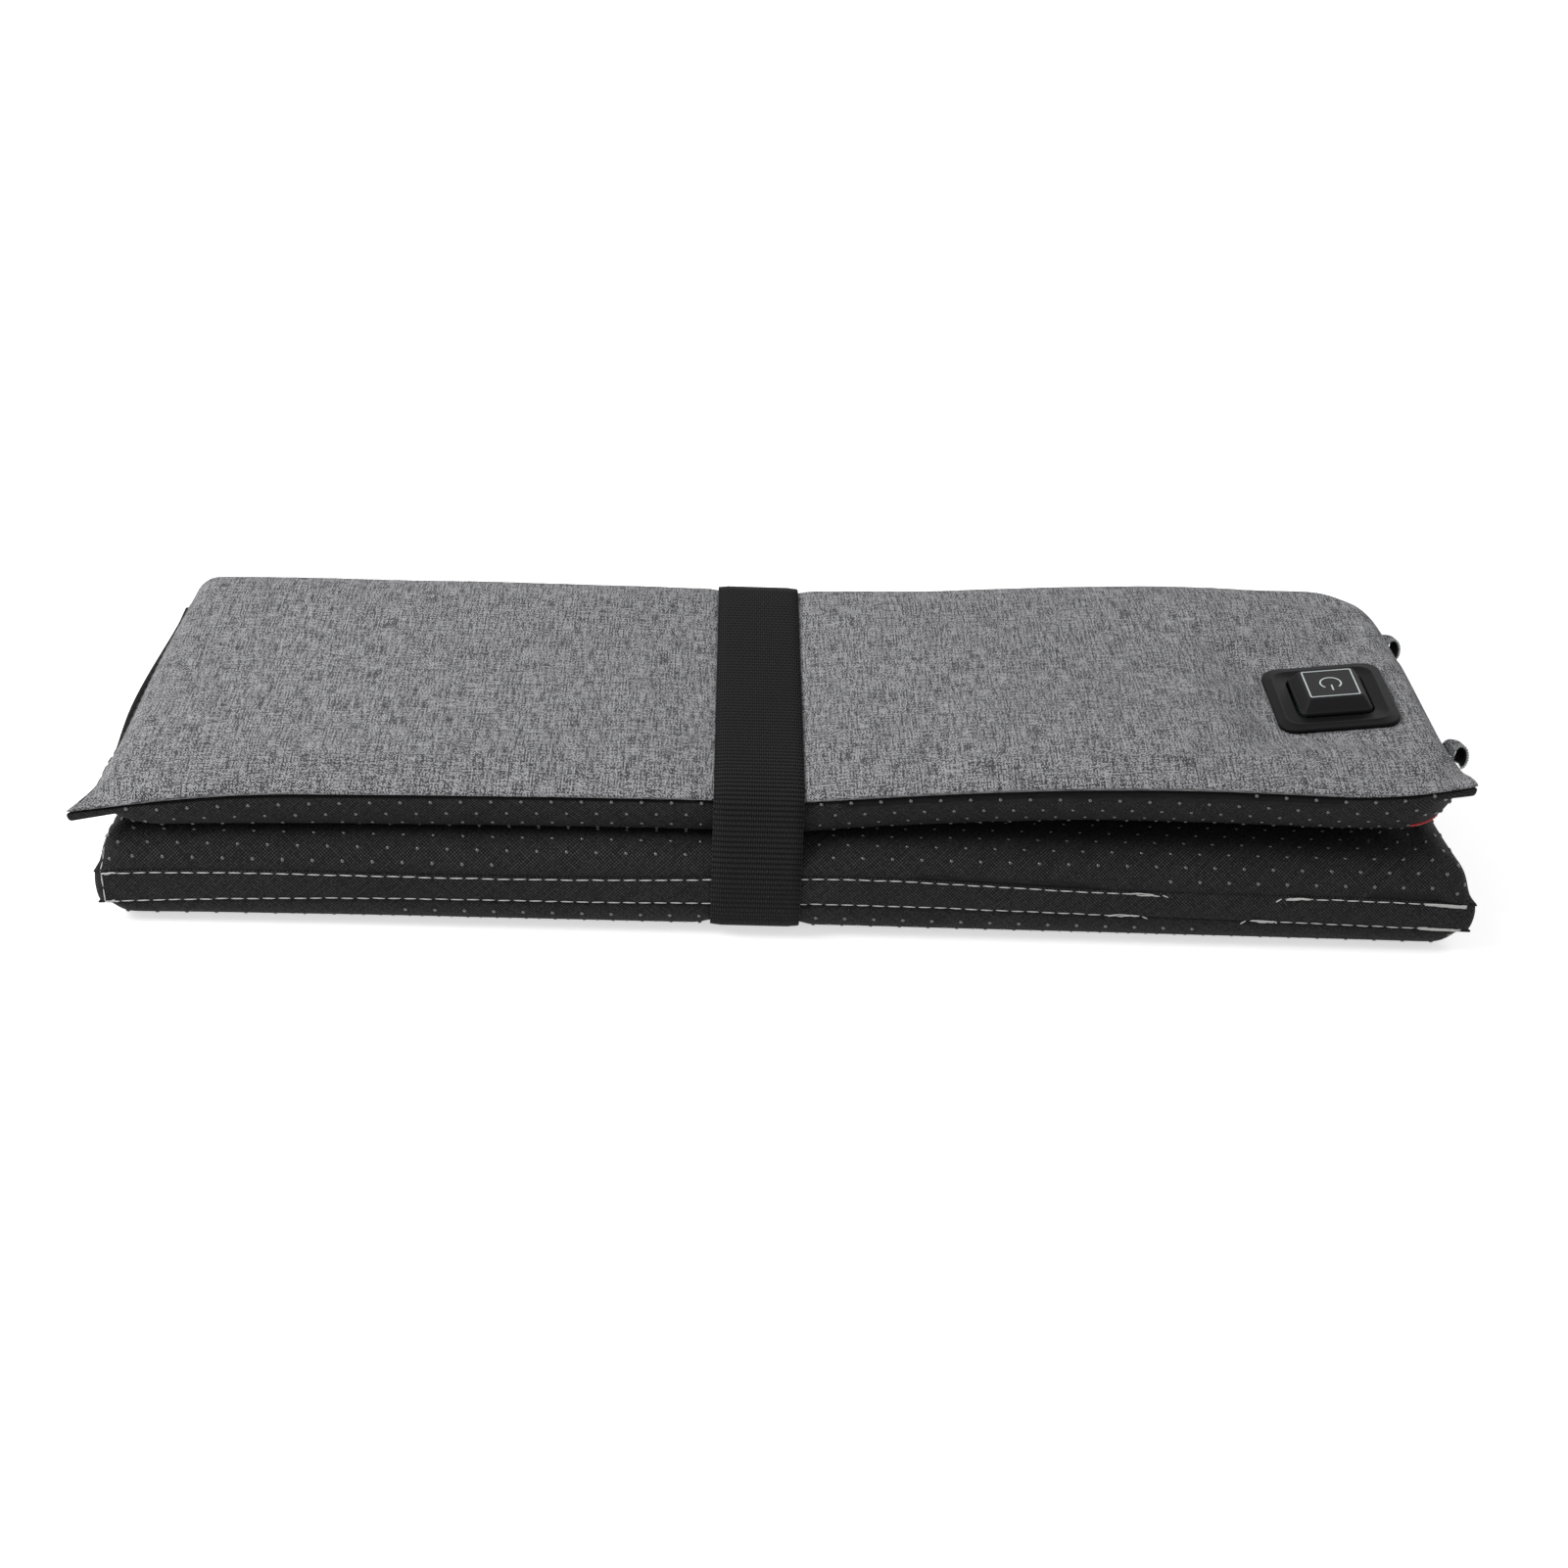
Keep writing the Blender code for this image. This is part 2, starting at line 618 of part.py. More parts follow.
def box(low, high):
    made = bmesh.new()
    bmesh.ops.create_cube(made, size=1)
    bmesh.ops.scale(made, vec=Vector(high) - Vector(low), verts=made.verts)
    bmesh.ops.translate(made, vec=(Vector(high) + Vector(low)) / 2, verts=made.verts)
    return made


def button_flange(material, parent):
    """The silicone frame on the cover: a plate with a raised rim and a square opening for the button."""
    made = bmesh.new()
    rounded_plate(made, FLANGE_SIZE, FLANGE_THICKNESS, 0, FLANGE_CORNER)
    top = max(made.faces, key=lambda f: f.calc_center_median().z)
    bmesh.ops.inset_region(made, faces=[top], thickness=RIM_INSET)
    rim = bmesh.ops.inset_region(made, faces=[top], thickness=RIM_WIDTH)["faces"]
    lifted = {v for face in rim for v in face.verts}
    bmesh.ops.translate(made, vec=(0, 0, RIM_HEIGHT), verts=list(lifted))
    bmesh.ops.inset_region(made, faces=[top], thickness=RIM_WIDTH / 2)
    bmesh.ops.translate(made, vec=(0, 0, -RIM_HEIGHT), verts=top.verts[:])
    item = object_from("button_flange", made, material, parent, local=True)
    half = BUTTON_BASE / 2 + CLEARANCE
    hole = box((-half, -half, -OVERRUN), (half, half, OVERRUN))
    boolean(item, cutter("flange_hole", hole, parent, local=True), "DIFFERENCE")
    return item


def raised_step(made, face, inset, lift):
    """Insets a face and then extrudes what is inside it straight up or down."""
    bmesh.ops.inset_region(made, faces=[face], thickness=inset)
    step = bmesh.ops.extrude_discrete_faces(made, faces=[face])["faces"][0]
    bmesh.ops.translate(made, vec=(0, 0, lift), verts=step.verts[:])
    return step


def power_button(material, parent):
    """The silicone button: a square cap with sloping sides, hollow below, and a stem over the switch."""
    made = bmesh.new()
    bmesh.ops.create_cube(made, size=1)
    foot_top, skirt = FLANGE_THICKNESS + BUTTON_FOOT, -LAYER_TOP - BUTTON_SKIRT
    bmesh.ops.scale(made, vec=(BUTTON_BASE, BUTTON_BASE, foot_top - skirt), verts=made.verts)
    bmesh.ops.translate(made, vec=(0, 0, (foot_top + skirt) / 2), verts=made.verts)
    top = max(made.faces, key=lambda f: f.calc_center_median().z)
    bottom = min(made.faces, key=lambda f: f.calc_center_median().z)
    bmesh.ops.inset_region(made, faces=[top], thickness=(BUTTON_BASE - BUTTON_TOP) / 2)
    bmesh.ops.translate(made, vec=(0, 0, BUTTON_HEIGHT - BUTTON_FOOT), verts=top.verts[:])
    raised = [e for e in made.edges if min(v.co.z for v in e.verts) > 0]
    hollow = raised_step(made, bottom, BUTTON_WALL, foot_top - BUTTON_WALL - skirt)
    stem_end = switch_top() + BUTTON_TRAVEL + CLEARANCE
    stem_inset = (BUTTON_BASE - STEM_SIZE) / 2 - BUTTON_WALL
    raised_step(made, hollow, stem_inset, stem_end - foot_top + BUTTON_WALL)
    bmesh.ops.bevel(
        made, geom=raised, offset=BUTTON_EDGE, segments=2, profile=0.5, affect="EDGES", material=-1
    )
    bmesh.ops.recalc_face_normals(made, faces=made.faces[:])
    return object_from("power_button", made, material, parent, local=True)


def case_top():
    return -LAYER_TOP - CLEARANCE


def board_bottom():
    return case_top() - CASE_HEIGHT + CLEARANCE + BOARD_POST


def board_half():
    return CASE_SIZE / 2 - CASE_WALL - CLEARANCE


def parts_level():
    """Height at which the board's parts stand."""
    return board_bottom() + BOARD_THICKNESS + CLEARANCE


def switch_top():
    return parts_level() + SWITCH_HEIGHT + PLUNGER_HEIGHT


def controller_case(material, parent):
    """The case under the cover: an open-bottomed tray whose roof has the button's opening."""
    made = bmesh.new()
    rounded_plate(made, CASE_SIZE, CASE_HEIGHT, case_top() - CASE_HEIGHT, CASE_CORNER, 2)
    item = object_from("controller_case", made, material, parent, local=True)
    inner = CASE_SIZE / 2 - CASE_WALL
    low = case_top() - CASE_HEIGHT - OVERRUN
    cavity = box((-inner, -inner, low), (inner, inner, case_top() - CASE_WALL))
    boolean(item, cutter("case_cavity", cavity, parent, local=True), "DIFFERENCE")
    half = BUTTON_BASE / 2 + CLEARANCE
    hole = box((-half, -half, case_top() - CASE_WALL - OVERRUN), (half, half, case_top() + OVERRUN))
    boolean(item, cutter("case_hole", hole, parent, local=True), "DIFFERENCE")
    return item


def controller_base(material, parent):
    """The case's bottom plate with four posts for the circuit board."""
    made = bmesh.new()
    top = case_top() - CASE_HEIGHT - CLEARANCE
    rounded_plate(made, CASE_SIZE, CASE_WALL, top - CASE_WALL, CASE_CORNER, 2)
    item = object_from("controller_base", made, material, parent, local=True)
    reach = CASE_SIZE / 2 - CASE_WALL - STEM_SIZE / 2
    posts = bmesh.new()
    for side_x in (-1, 1):
        for side_y in (-1, 1):
            post = bmesh.ops.create_cone(
                posts, cap_ends=True, segments=8, radius1=BOARD_POST, radius2=BOARD_POST,
                depth=board_bottom() - CLEARANCE - top + CASE_WALL / 2,
            )["verts"]
            middle = (board_bottom() - CLEARANCE + top - CASE_WALL / 2) / 2
            bmesh.ops.translate(posts, vec=(side_x * reach, side_y * reach, middle), verts=post)
    boolean(item, cutter("base_posts", posts, parent, local=True), "UNION")
    return item


def standing_box(name, size, x, y, low, material, parent):
    """A box of the given size that stands at a height, its middle at x and y."""
    half = Vector((size[0] / 2, size[1] / 2, 0))
    centre = Vector((x, y, low))
    made = box(centre - half, centre + half + Vector((0, 0, size[2])))
    return object_from(name, made, material, parent, local=True)


def circuit_board(material, parent):
    size = (2 * board_half(), 2 * board_half(), BOARD_THICKNESS)
    return standing_box("circuit_board", size, 0, 0, board_bottom(), material, parent)


def tact_switch(material, parent):
    """The push switch in the board's middle: a square body with a round plunger."""
    size = (SWITCH_SIZE, SWITCH_SIZE, SWITCH_HEIGHT)
    item = standing_box("tact_switch", size, 0, 0, parts_level(), material, parent)
    height = PLUNGER_HEIGHT + SWITCH_HEIGHT / 2
    plunger = bmesh.new()
    bmesh.ops.create_cone(
        plunger, cap_ends=True, segments=12, radius1=PLUNGER_DIAMETER / 2, radius2=PLUNGER_DIAMETER / 2,
        depth=height,
    )
    bmesh.ops.translate(plunger, vec=(0, 0, switch_top() - height / 2), verts=plunger.verts)
    boolean(item, cutter("switch_plunger", plunger, parent, local=True), "UNION")


def status_lamp(material, parent):
    size = (LAMP_SIZE, LAMP_SIZE, LAMP_HEIGHT)
    standing_box("status_lamp", size, LAMP_OFFSET, 0, parts_level(), material, parent)


def thermal_cutout(material, parent):
    y = CUTOUT_DEPTH / 2 + CLEARANCE - board_half()
    size = (CUTOUT_LENGTH, CUTOUT_DEPTH, CUTOUT_HEIGHT)
    standing_box("thermal_cutout", size, 0, y, parts_level(), material, parent)


def pocket_top():
    """The pocket lies level, just below the lowest corner of the tilted controller."""
    tilt = math.radians(CONTROLLER_TILT_DEG)
    depth = CASE_HEIGHT + CASE_WALL + CLEARANCE - case_top()
    corner = depth * math.cos(tilt) + CASE_SIZE / 2 * math.sin(tilt)
    return CONTROLLER_LEVEL - corner


def sleeve(name, left, right, wall, closed_left, material, parent):
    """A flat rectangular tube round the pocket's middle plane, open at the right or at both ends."""
    high = Vector((right, MOUTH_Y + POCKET_WIDTH / 2, pocket_top()))
    low = Vector((left, MOUTH_Y - POCKET_WIDTH / 2, pocket_top() - POCKET_HEIGHT))
    item = object_from(name, box(low, high), material, parent)
    inset = Vector((0, wall, wall))
    start = Vector((wall if closed_left else -OVERRUN, 0, 0))
    room = box(low + inset + start, high - inset + Vector((OVERRUN, 0, 0)))
    boolean(item, cutter(f"{name}_room", room, parent), "DIFFERENCE")
    return item


def pocket(cloth, binding, parent):
    """The flat pouch under the controller, open at the right end, with its bound mouth."""
    sleeve("pocket_liner", POCKET_LEFT, POCKET_RIGHT, POCKET_CLOTH, True, cloth, parent)
    near = POCKET_RIGHT + CLEARANCE
    sleeve("pocket_binding", near, near + BINDING_WIDTH, BINDING_THICKNESS, False, binding, parent)


def foam_recess(item, parent):
    """Takes the foam away over the pocket, so that pocket and controller lie in it."""
    half = POCKET_WIDTH / 2 + CLEARANCE
    low = (POCKET_LEFT - CLEARANCE, MOUTH_Y - half, pocket_top() - POCKET_HEIGHT - CLEARANCE)
    high = (HALF_LENGTH, MOUTH_Y + half, 4 * PAD_THICKNESS)
    boolean(item, cutter("foam_recess", box(low, high), parent), "DIFFERENCE")


def cover_hole(item, parent):
    half = BUTTON_BASE / 2 + 2 * CLEARANCE
    hole = box((-half, -half, -LAYER_TOP - OVERRUN), (half, half, OVERRUN))
    boolean(item, cutter("cover_hole", hole, parent, local=True), "DIFFERENCE")
    item.modifiers[-1].use_self = True


def pocket_tab(name, y, material, parent):
    """A short hem of the mouth that curls outwards: an arc extruded along Y."""
    level = MOUTH_HEIGHT + TAB_RADIUS / 2
    rim_x = pulled("top", HALF_LENGTH, y, True)[0]
    centre_x = rim_x + TAB_RADIUS + CLOTH / 2 + 2 * CLEARANCE
    made = bmesh.new()
    verts = []
    for step in range(TAB_STEPS + 1):
        angle = math.radians(TAB_START_DEG - TAB_TURN_DEG * step / TAB_STEPS)
        x, z = centre_x + TAB_RADIUS * math.cos(angle), level + TAB_RADIUS * math.sin(angle)
        verts.append(made.verts.new((x, y - TAB_LENGTH / 2, z)))
    edges = [made.edges.new(pair) for pair in zip(verts, verts[1:])]
    grown = bmesh.ops.extrude_edge_only(made, edges=edges)["geom"]
    moved = [g for g in grown if isinstance(g, bmesh.types.BMVert)]
    bmesh.ops.translate(made, vec=(0, TAB_LENGTH, 0), verts=moved)
    item = object_from(name, made, material, parent)
    wall = item.modifiers.new("cloth", "SOLIDIFY")
    wall.thickness = CLOTH
    wall.offset = 0
    return item


def controller_lead(material, parent, controller):
    """The lead from the top pad's heating cord to the controller's side."""
    start = Vector(heater_rows("top")[-1])
    step = Vector((HEATER_DIAMETER / 2 + LEAD_DIAMETER / 2 + CLEARANCE, 0, 0))
    local_end = Vector((-CASE_SIZE / 2 - CLEARANCE, -CASE_SIZE / 4, case_top() - CASE_HEIGHT / 2))
    end = controller.matrix_world @ local_end
    way = end - start
    points = [start + step]
    for along, across, up in LEAD_ROUTE_SHARES:
        points.append(start + Vector((way.x * along, way.y * across, way.z * up)))
    tube("controller_lead", points, LEAD_DIAMETER, material, parent)


def section_points():
    """Outer points of the folded pads across the strap's width, in Y and Z."""
    points = []
    ys = stations(HALF_DEPTH, SHORT_CELL)
    for x in (STRAP_X - STRAP_WIDTH / 2, STRAP_X, STRAP_X + STRAP_WIDTH / 2):
        for pad in FLOORS:
            for upper in (False, True):
                grey = upper == GREY_UP[pad]
                for y in ys:
                    z = cover_height(pad, x, y, upper)
                    points.append((pulled(pad, x, y, grey)[1], z))
    return points


def convex_hull(points):
    """The points of the convex outline, counter-clockwise."""
    ordered = sorted(set(points))

    def half(row):
        chain = []
        for p in row:
            while len(chain) > 1:
                (ay, az), (by, bz) = chain[-2:]
                if (by - ay) * (p[1] - az) - (bz - az) * (p[0] - ay) > 0:
                    break
                chain.pop()
            chain.append(p)
        return chain[:-1]

    return half(ordered) + half(reversed(ordered))


def outward(points, gap):
    """Moves a closed outline outwards by a gap, with mitred corners."""
    moved = []
    for i, here in enumerate(points):
        before, after = Vector(points[i - 1]), Vector(points[(i + 1) % len(points)])
        first, second = (Vector(here) - before).normalized(), (after - Vector(here)).normalized()
        n1, n2 = Vector((first.y, -first.x)), Vector((second.y, -second.x))
        bisector = (n1 + n2).normalized()
        moved.append(Vector(here) + bisector * gap / bisector.dot(n1))
    return moved


def strap_path():
    hull = convex_hull(section_points())
    kept = []
    for point in hull:
        if not kept or (Vector(point) - Vector(kept[-1])).length > STRAP_THICKNESS:
            kept.append(point)
    return outward(kept, CLEARANCE)


def strap(material, parent):
    """The elastic loop: the pack's convex section, widened along X and given its thickness."""
    made = bmesh.new()
    path = strap_path()
    left = STRAP_X - STRAP_WIDTH / 2
    verts = [made.verts.new((left, p.x, p.y)) for p in path]
    edges = [made.edges.new((v, verts[i - 1])) for i, v in enumerate(verts)]
    grown = bmesh.ops.extrude_edge_only(made, edges=edges)["geom"]
    moved = [g for g in grown if isinstance(g, bmesh.types.BMVert)]
    bmesh.ops.translate(made, vec=(STRAP_WIDTH, 0, 0), verts=moved)
    bmesh.ops.recalc_face_normals(made, faces=made.faces[:])
    item = object_from("strap", made, material, parent)
    wall = item.modifiers.new("webbing", "SOLIDIFY")
    wall.thickness = STRAP_THICKNESS
    wall.offset = 1
    wall.use_even_offset = True
    back = max(p.x for p in path) + STRAP_THICKNESS + CLEARANCE
    low = Vector((left, back, STRAP_OVERLAP_Z - STRAP_OVERLAP / 2))
    high = low + Vector((STRAP_WIDTH, STRAP_THICKNESS, STRAP_OVERLAP))
    object_from("strap_end", box(low, high), material, parent)


def controller_frame(parent):
    """The controller's empty: on the flat place of the swollen cover, tilted as the cover is there."""
    place = (CONTROLLER_X, CONTROLLER_Y, CONTROLLER_LEVEL + CLEARANCE)
    return add_empty("controller_frame", place, parent, -math.radians(CONTROLLER_TILT_DEG))


def button_axis(controller):
    """An empty in the controller's frame, whose Z the button slides along."""
    axis = bpy.data.objects.new("button_press_axis", None)
    bpy.data.collections[COLLECTION].objects.link(axis)
    axis.parent = controller
    return axis


def build():
    clear_scene()
    add_collection(COLLECTION)
    add_collection("cutters")
    grey = finish_material("heather_cloth", (0.29, 0.29, 0.29), 0.9)
    black = finish_material("dotted_cloth", (0.02, 0.02, 0.022), 0.75)
    webbing = finish_material("strap_webbing", (0.015, 0.015, 0.016), 0.7)
    foam_white = finish_material("foam", (0.82, 0.8, 0.74), 0.95)
    felt_white = finish_material("felt", (0.75, 0.75, 0.73), 0.95)
    heater = finish_material("heater_sheath", (0.12, 0.1, 0.1), 0.5)
    wire = finish_material("lead_sheath", (0.5, 0.03, 0.03), 0.45)
    silicone = finish_material("silicone", (0.018, 0.018, 0.02), 0.5)
    plastic = finish_material("case_plastic", (0.05, 0.05, 0.055), 0.5)
    board = finish_material("board_green", (0.02, 0.16, 0.07), 0.4)
    metal = finish_material("switch_metal", (0.6, 0.6, 0.6), 0.3, 1.0)
    lamp = finish_material("lamp_lens", (0.85, 0.85, 0.8), 0.2)
    binding = finish_material("binding_tape", (0.55, 0.02, 0.02), 0.8)

    root = add_empty("bottom_panel", (0, 0, 0))
    front_axis = add_empty("front_fold_axis", (0, -HALF_DEPTH - HINGE_STANDOFF, PAD_THICKNESS), root)
    back_axis = add_empty("back_fold_axis", (0, HALF_DEPTH + HINGE_STANDOFF, 2 * PAD_THICKNESS), front_axis)
    bodies = {"bottom": root, "middle": front_axis, "top": back_axis}
    covers, foams = {}, {}
    for pad, body in bodies.items():
        for upper in (True, False):
            is_grey = upper == GREY_UP[pad]
            kind = "heated_cover" if is_grey else "nonslip_cover"
            made = cover(f"{pad}_{kind}", pad, upper, grey if is_grey else black, body)
            covers[pad, upper] = made
        foams[pad] = foam(pad, foam_white, body)
        felt(pad, felt_white, body)
        heating_cord(pad, heater, body)
    hinge_cloth("front", black, grey, root)
    hinge_cloth("back", grey, black, front_axis)
    jumper_lead("front", wire, root)
    jumper_lead("back", wire, front_axis)

    controller = controller_frame(back_axis)
    button_flange(silicone, controller)
    cover_hole(covers["top", True], controller)
    controller_case(plastic, controller)
    controller_base(plastic, controller)
    circuit_board(board, controller)
    tact_switch(metal, controller)
    status_lamp(lamp, controller)
    thermal_cutout(plastic, controller)
    pocket(black, binding, back_axis)
    foam_recess(foams["top"], back_axis)
    controller_lead(wire, back_axis, controller)
    pocket_tab("pocket_tab_front", MOUTH_Y - MOUTH_HALF, grey, back_axis)
    pocket_tab("pocket_tab_back", MOUTH_Y + MOUTH_HALF, grey, back_axis)
    power_button(silicone, button_axis(controller))
    strap(webbing, add_empty("strap_slide", (STRAP_X, 0, 0), root))


build()
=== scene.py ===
"""Dresses the folded heated seat cushion: sewn covers, hinge bands, stitches, strap, button and pocket."""

import functools
import math
import random

import bmesh
import bpy
from bpy.props import FloatProperty, FloatVectorProperty, PointerProperty
from mathutils import Matrix, Vector, geometry, noise


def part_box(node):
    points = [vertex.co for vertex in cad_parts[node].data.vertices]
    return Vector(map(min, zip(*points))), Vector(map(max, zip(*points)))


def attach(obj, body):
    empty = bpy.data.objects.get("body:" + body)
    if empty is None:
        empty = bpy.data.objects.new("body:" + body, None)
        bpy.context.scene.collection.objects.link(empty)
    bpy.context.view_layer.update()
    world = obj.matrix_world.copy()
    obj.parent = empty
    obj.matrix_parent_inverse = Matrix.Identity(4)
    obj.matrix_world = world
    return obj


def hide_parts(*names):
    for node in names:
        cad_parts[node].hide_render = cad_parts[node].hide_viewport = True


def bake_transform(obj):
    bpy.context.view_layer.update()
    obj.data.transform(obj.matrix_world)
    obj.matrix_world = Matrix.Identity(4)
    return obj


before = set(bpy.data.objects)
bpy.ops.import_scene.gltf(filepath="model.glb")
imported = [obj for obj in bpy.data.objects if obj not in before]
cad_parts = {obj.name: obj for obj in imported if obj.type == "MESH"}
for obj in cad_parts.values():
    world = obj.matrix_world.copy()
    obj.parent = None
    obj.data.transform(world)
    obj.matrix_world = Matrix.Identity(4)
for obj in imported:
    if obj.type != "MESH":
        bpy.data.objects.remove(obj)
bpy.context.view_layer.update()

bl_info = {
    "name": "Folded heated seat cushion",
    "version": (1, 0, 0),
    "blender": (4, 5, 0),
    "location": "View3D > Sidebar > Cushion",
    "description": "Builds the cloth, thread, strap and button of a folded heated seat cushion",
    "category": "Object",
}

MM = 0.001
FRONT = Vector((0, -1, 0))
IMAGE_SIDE = 1601

PADS = ("bottom", "middle", "top")
BODY_OF_PAD = {pad: f"{pad}_panel" for pad in PADS}
FLOORS = {"bottom": 0, "middle": 15 * MM, "top": 30 * MM}
GREY_UP = {"bottom": True, "middle": False, "top": True}

# Shape values shared with the solid model
PAD_THICKNESS = 15 * MM
PAD_LOW, PAD_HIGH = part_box("middle_nonslip_cover")
HALF_LENGTH, HALF_DEPTH = PAD_HIGH.x, -PAD_LOW.y
SIDE_ROUND = 10 * MM
CORNER_ROUND = 20 * MM
TIGHT_CORNER = 9 * MM
BACK_RIGHT_CORNER = 24 * MM
SEAT = 0.15 * MM
END_PULL = 2.5 * MM
MOUTH_PULL = 3.2 * MM
BACK_TAPER = {"top": 5 * MM, "middle": 5 * MM, "bottom": 3 * MM}
FREE_EDGE_PULL = 5 * MM
LINING_SETBACK = 3 * MM
BACK_SEAM_HEIGHT = 7.5 * MM
CROWN = 3 * MM
HINGE_WIDTH = 7.3 * MM
FRONT_SEAM_BELOW_TOP = 2 * MM
FRONT_UNDER_ROUND = 7 * MM
SWOLLEN_UNDER_ROUND = 30 * MM
CORNER_DROOP = 6 * MM
LEFT_DROOP_LENGTH = 60 * MM
SWELL_FRONT = 8.5 * MM
SWELL_BACK = 5.8 * MM
SWELL_END_INSET = 64 * MM
MOUTH_Y = 5 * MM
MOUTH_HALF = 30 * MM
MOUTH_OPENING = 3.6 * MM
MOUTH_HEIGHT = 42.5 * MM
STRAP_LOW, STRAP_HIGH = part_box("strap")
STRAP_X = (STRAP_LOW.x + STRAP_HIGH.x) / 2
STRAP_HALF = (STRAP_HIGH.x - STRAP_LOW.x) / 2
PRESS_MARGIN = 0.7 * MM
PRESS_RAMP = 2.5 * MM
TOP_PRESS = 0.8 * MM
UNDER_PRESS = 1.6 * MM
FLANGE_SIDE = 35 * MM
FLANGE_HALF = FLANGE_SIDE / 2
CONTROLLER = Vector((HALF_LENGTH - 35.2 * MM, -12.6 * MM, 54 * MM))
CONTROLLER_TILT = math.radians(7)
CONTROLLER_FOOT = CONTROLLER + Vector((0, 0, 0.3 * MM))
CONTROLLER_FRAME = Matrix.Translation(CONTROLLER_FOOT) @ Matrix.Rotation(-CONTROLLER_TILT, 4, "Y")
PRINT_LEVEL = 5.6 * MM

# Forms that only the cloth has: bowed and dropped seams at the front hinge, a drawn-out tip at the left, a
# raised and leaning corner at the right, a black ledge at the left end, and a fuller back with a flat spot
BOW_X, BOW_WIDTH = 18 * MM, 55 * MM
HINGE_BOW = {"middle": 2.8 * MM, "bottom": 1.4 * MM}
HINGE_DROP_LEFT = {"middle": (1.5 * MM, 50 * MM), "bottom": (3.8 * MM, 110 * MM)}
HINGE_DROP_RIGHT = {"middle": (1.5 * MM, 44 * MM), "bottom": (2.4 * MM, 130 * MM)}
TIP_REACH, TIP_LENGTH = 5 * MM, 28 * MM
RAISED_CORNER, RAISED_LENGTH = Vector((3.4 * MM, -6 * MM, 2.5 * MM)), 45 * MM
BACK_LIFT = 2.2 * MM
CORNER_SAG = 2.2 * MM
END_LEDGE = 4.2 * MM
END_REACH, END_REACH_LENGTH = 2.6 * MM, 34 * MM
FLAT_SPOT_X, FLAT_SPOT_WIDTH = 57 * MM, 40 * MM
SWELL_START = STRAP_X + STRAP_HALF
SWELL_LENGTH = HALF_LENGTH - SWELL_END_INSET - SWELL_START

# Room that the cloth leaves round the cores, the flange and the button
CORE_ROOM = 1.9 * MM
FLAT_MARGIN, FLAT_BLEND = 2 * MM, 14 * MM
BUTTON_HOLE_HALF = 11.4 * MM
LIP = 0.8 * MM
RIPPLE_ON_TOP, RIPPLE_ELSEWHERE = 0.5 * MM, 0.35 * MM
SWELL_STEPS = 20


# Sizes and colours that a user may change


def length(name, description, default):
    return FloatProperty(name=name, description=description, default=default, unit="LENGTH", precision=5)


def colour(name, description, *default):
    return FloatVectorProperty(
        name=name, description=description, default=default, size=3, subtype="COLOR", min=0, max=1
    )


class CushionSizes(bpy.types.PropertyGroup):
    """Sizes of the sewn parts"""

    cell: length("Cloth cell", "Distance between the grid lines of a cover", 3.4 * MM)
    cloth: length("Cloth thickness", "Thickness of the cover cloth", 0.6 * MM)
    allowance: length("Seam allowance", "Cloth turned in behind a seam", 2.5 * MM)
    pressure: FloatProperty(name="Pressure", description="Pressure of the foam on the covers", default=4.0)
    fullness: FloatProperty(name="Fullness", description="Share that the cloth is too large", default=0.012)
    cap: length("Largest swell", "How far a point of a cover may move", 1.1 * MM)
    weave: length("Heather thread", "Distance between threads of the grey cloth", 0.42 * MM)
    black_weave: length("Black thread", "Distance between threads of the black cloth", 0.75 * MM)
    dot_pitch: length("Dot pitch", "Distance between non-slip dots along a row", 8.3 * MM)
    dot_width: length("Dot width", "Diameter of a non-slip dot", 1.3 * MM)
    dot_height: length("Dot height", "Height of a non-slip dot", 0.35 * MM)
    stitch: length("Stitch length", "Visible length of one stitch", 3.7 * MM)
    stitch_gap: length("Stitch gap", "Gap between two stitches", 0.7 * MM)
    thread: length("Thread width", "Diameter of the sewing thread", 0.38 * MM)
    rib: length("Webbing rib", "Distance between the strap's ribs", 1.6 * MM)
    rib_height: length("Rib height", "Height of the strap's ribs", 0.4 * MM)


class CushionColours(bpy.types.PropertyGroup):
    """Colours of the cloth, thread and silicone"""

    heather_light: colour("Heather light", "Light threads of the grey cloth", 0.5, 0.5, 0.515)
    heather_dark: colour("Heather dark", "Dark threads of the grey cloth", 0.015, 0.015, 0.017)
    black_cloth: colour("Black cloth", "Non-slip cloth", 0.0137, 0.0132, 0.0137)
    # The dots are a little lighter than the cloth: partly their own grey, partly a painted highlight that
    # stands in for glints too small to show.
    dots: colour("Dots", "Non-slip dots", 0.035, 0.035, 0.037)
    webbing: colour("Webbing", "Elastic strap", 0.0085, 0.0085, 0.0088)
    silicone: colour("Silicone", "Button and its flange", 0.0115, 0.0115, 0.0125)
    print: colour("Print", "Printed lines on the button", 0.55, 0.6, 0.6)
    white_thread: colour("White thread", "Thread on the black cloth", 0.6, 0.6, 0.59)
    dark_thread: colour("Dark thread", "Thread on the grey cloth", 0.03, 0.03, 0.032)
    overlock: colour("Overlock thread", "Thread round the raw edges of the mouth", 0.32, 0.36, 0.34)
    binding: colour("Binding", "Tape inside the pocket's mouth", 0.5, 0.02, 0.02)
    foam: colour("Foam", "Foam core", 0.8, 0.78, 0.7)
    felt: colour("Felt", "Felt that carries the heating cord", 0.72, 0.72, 0.7)


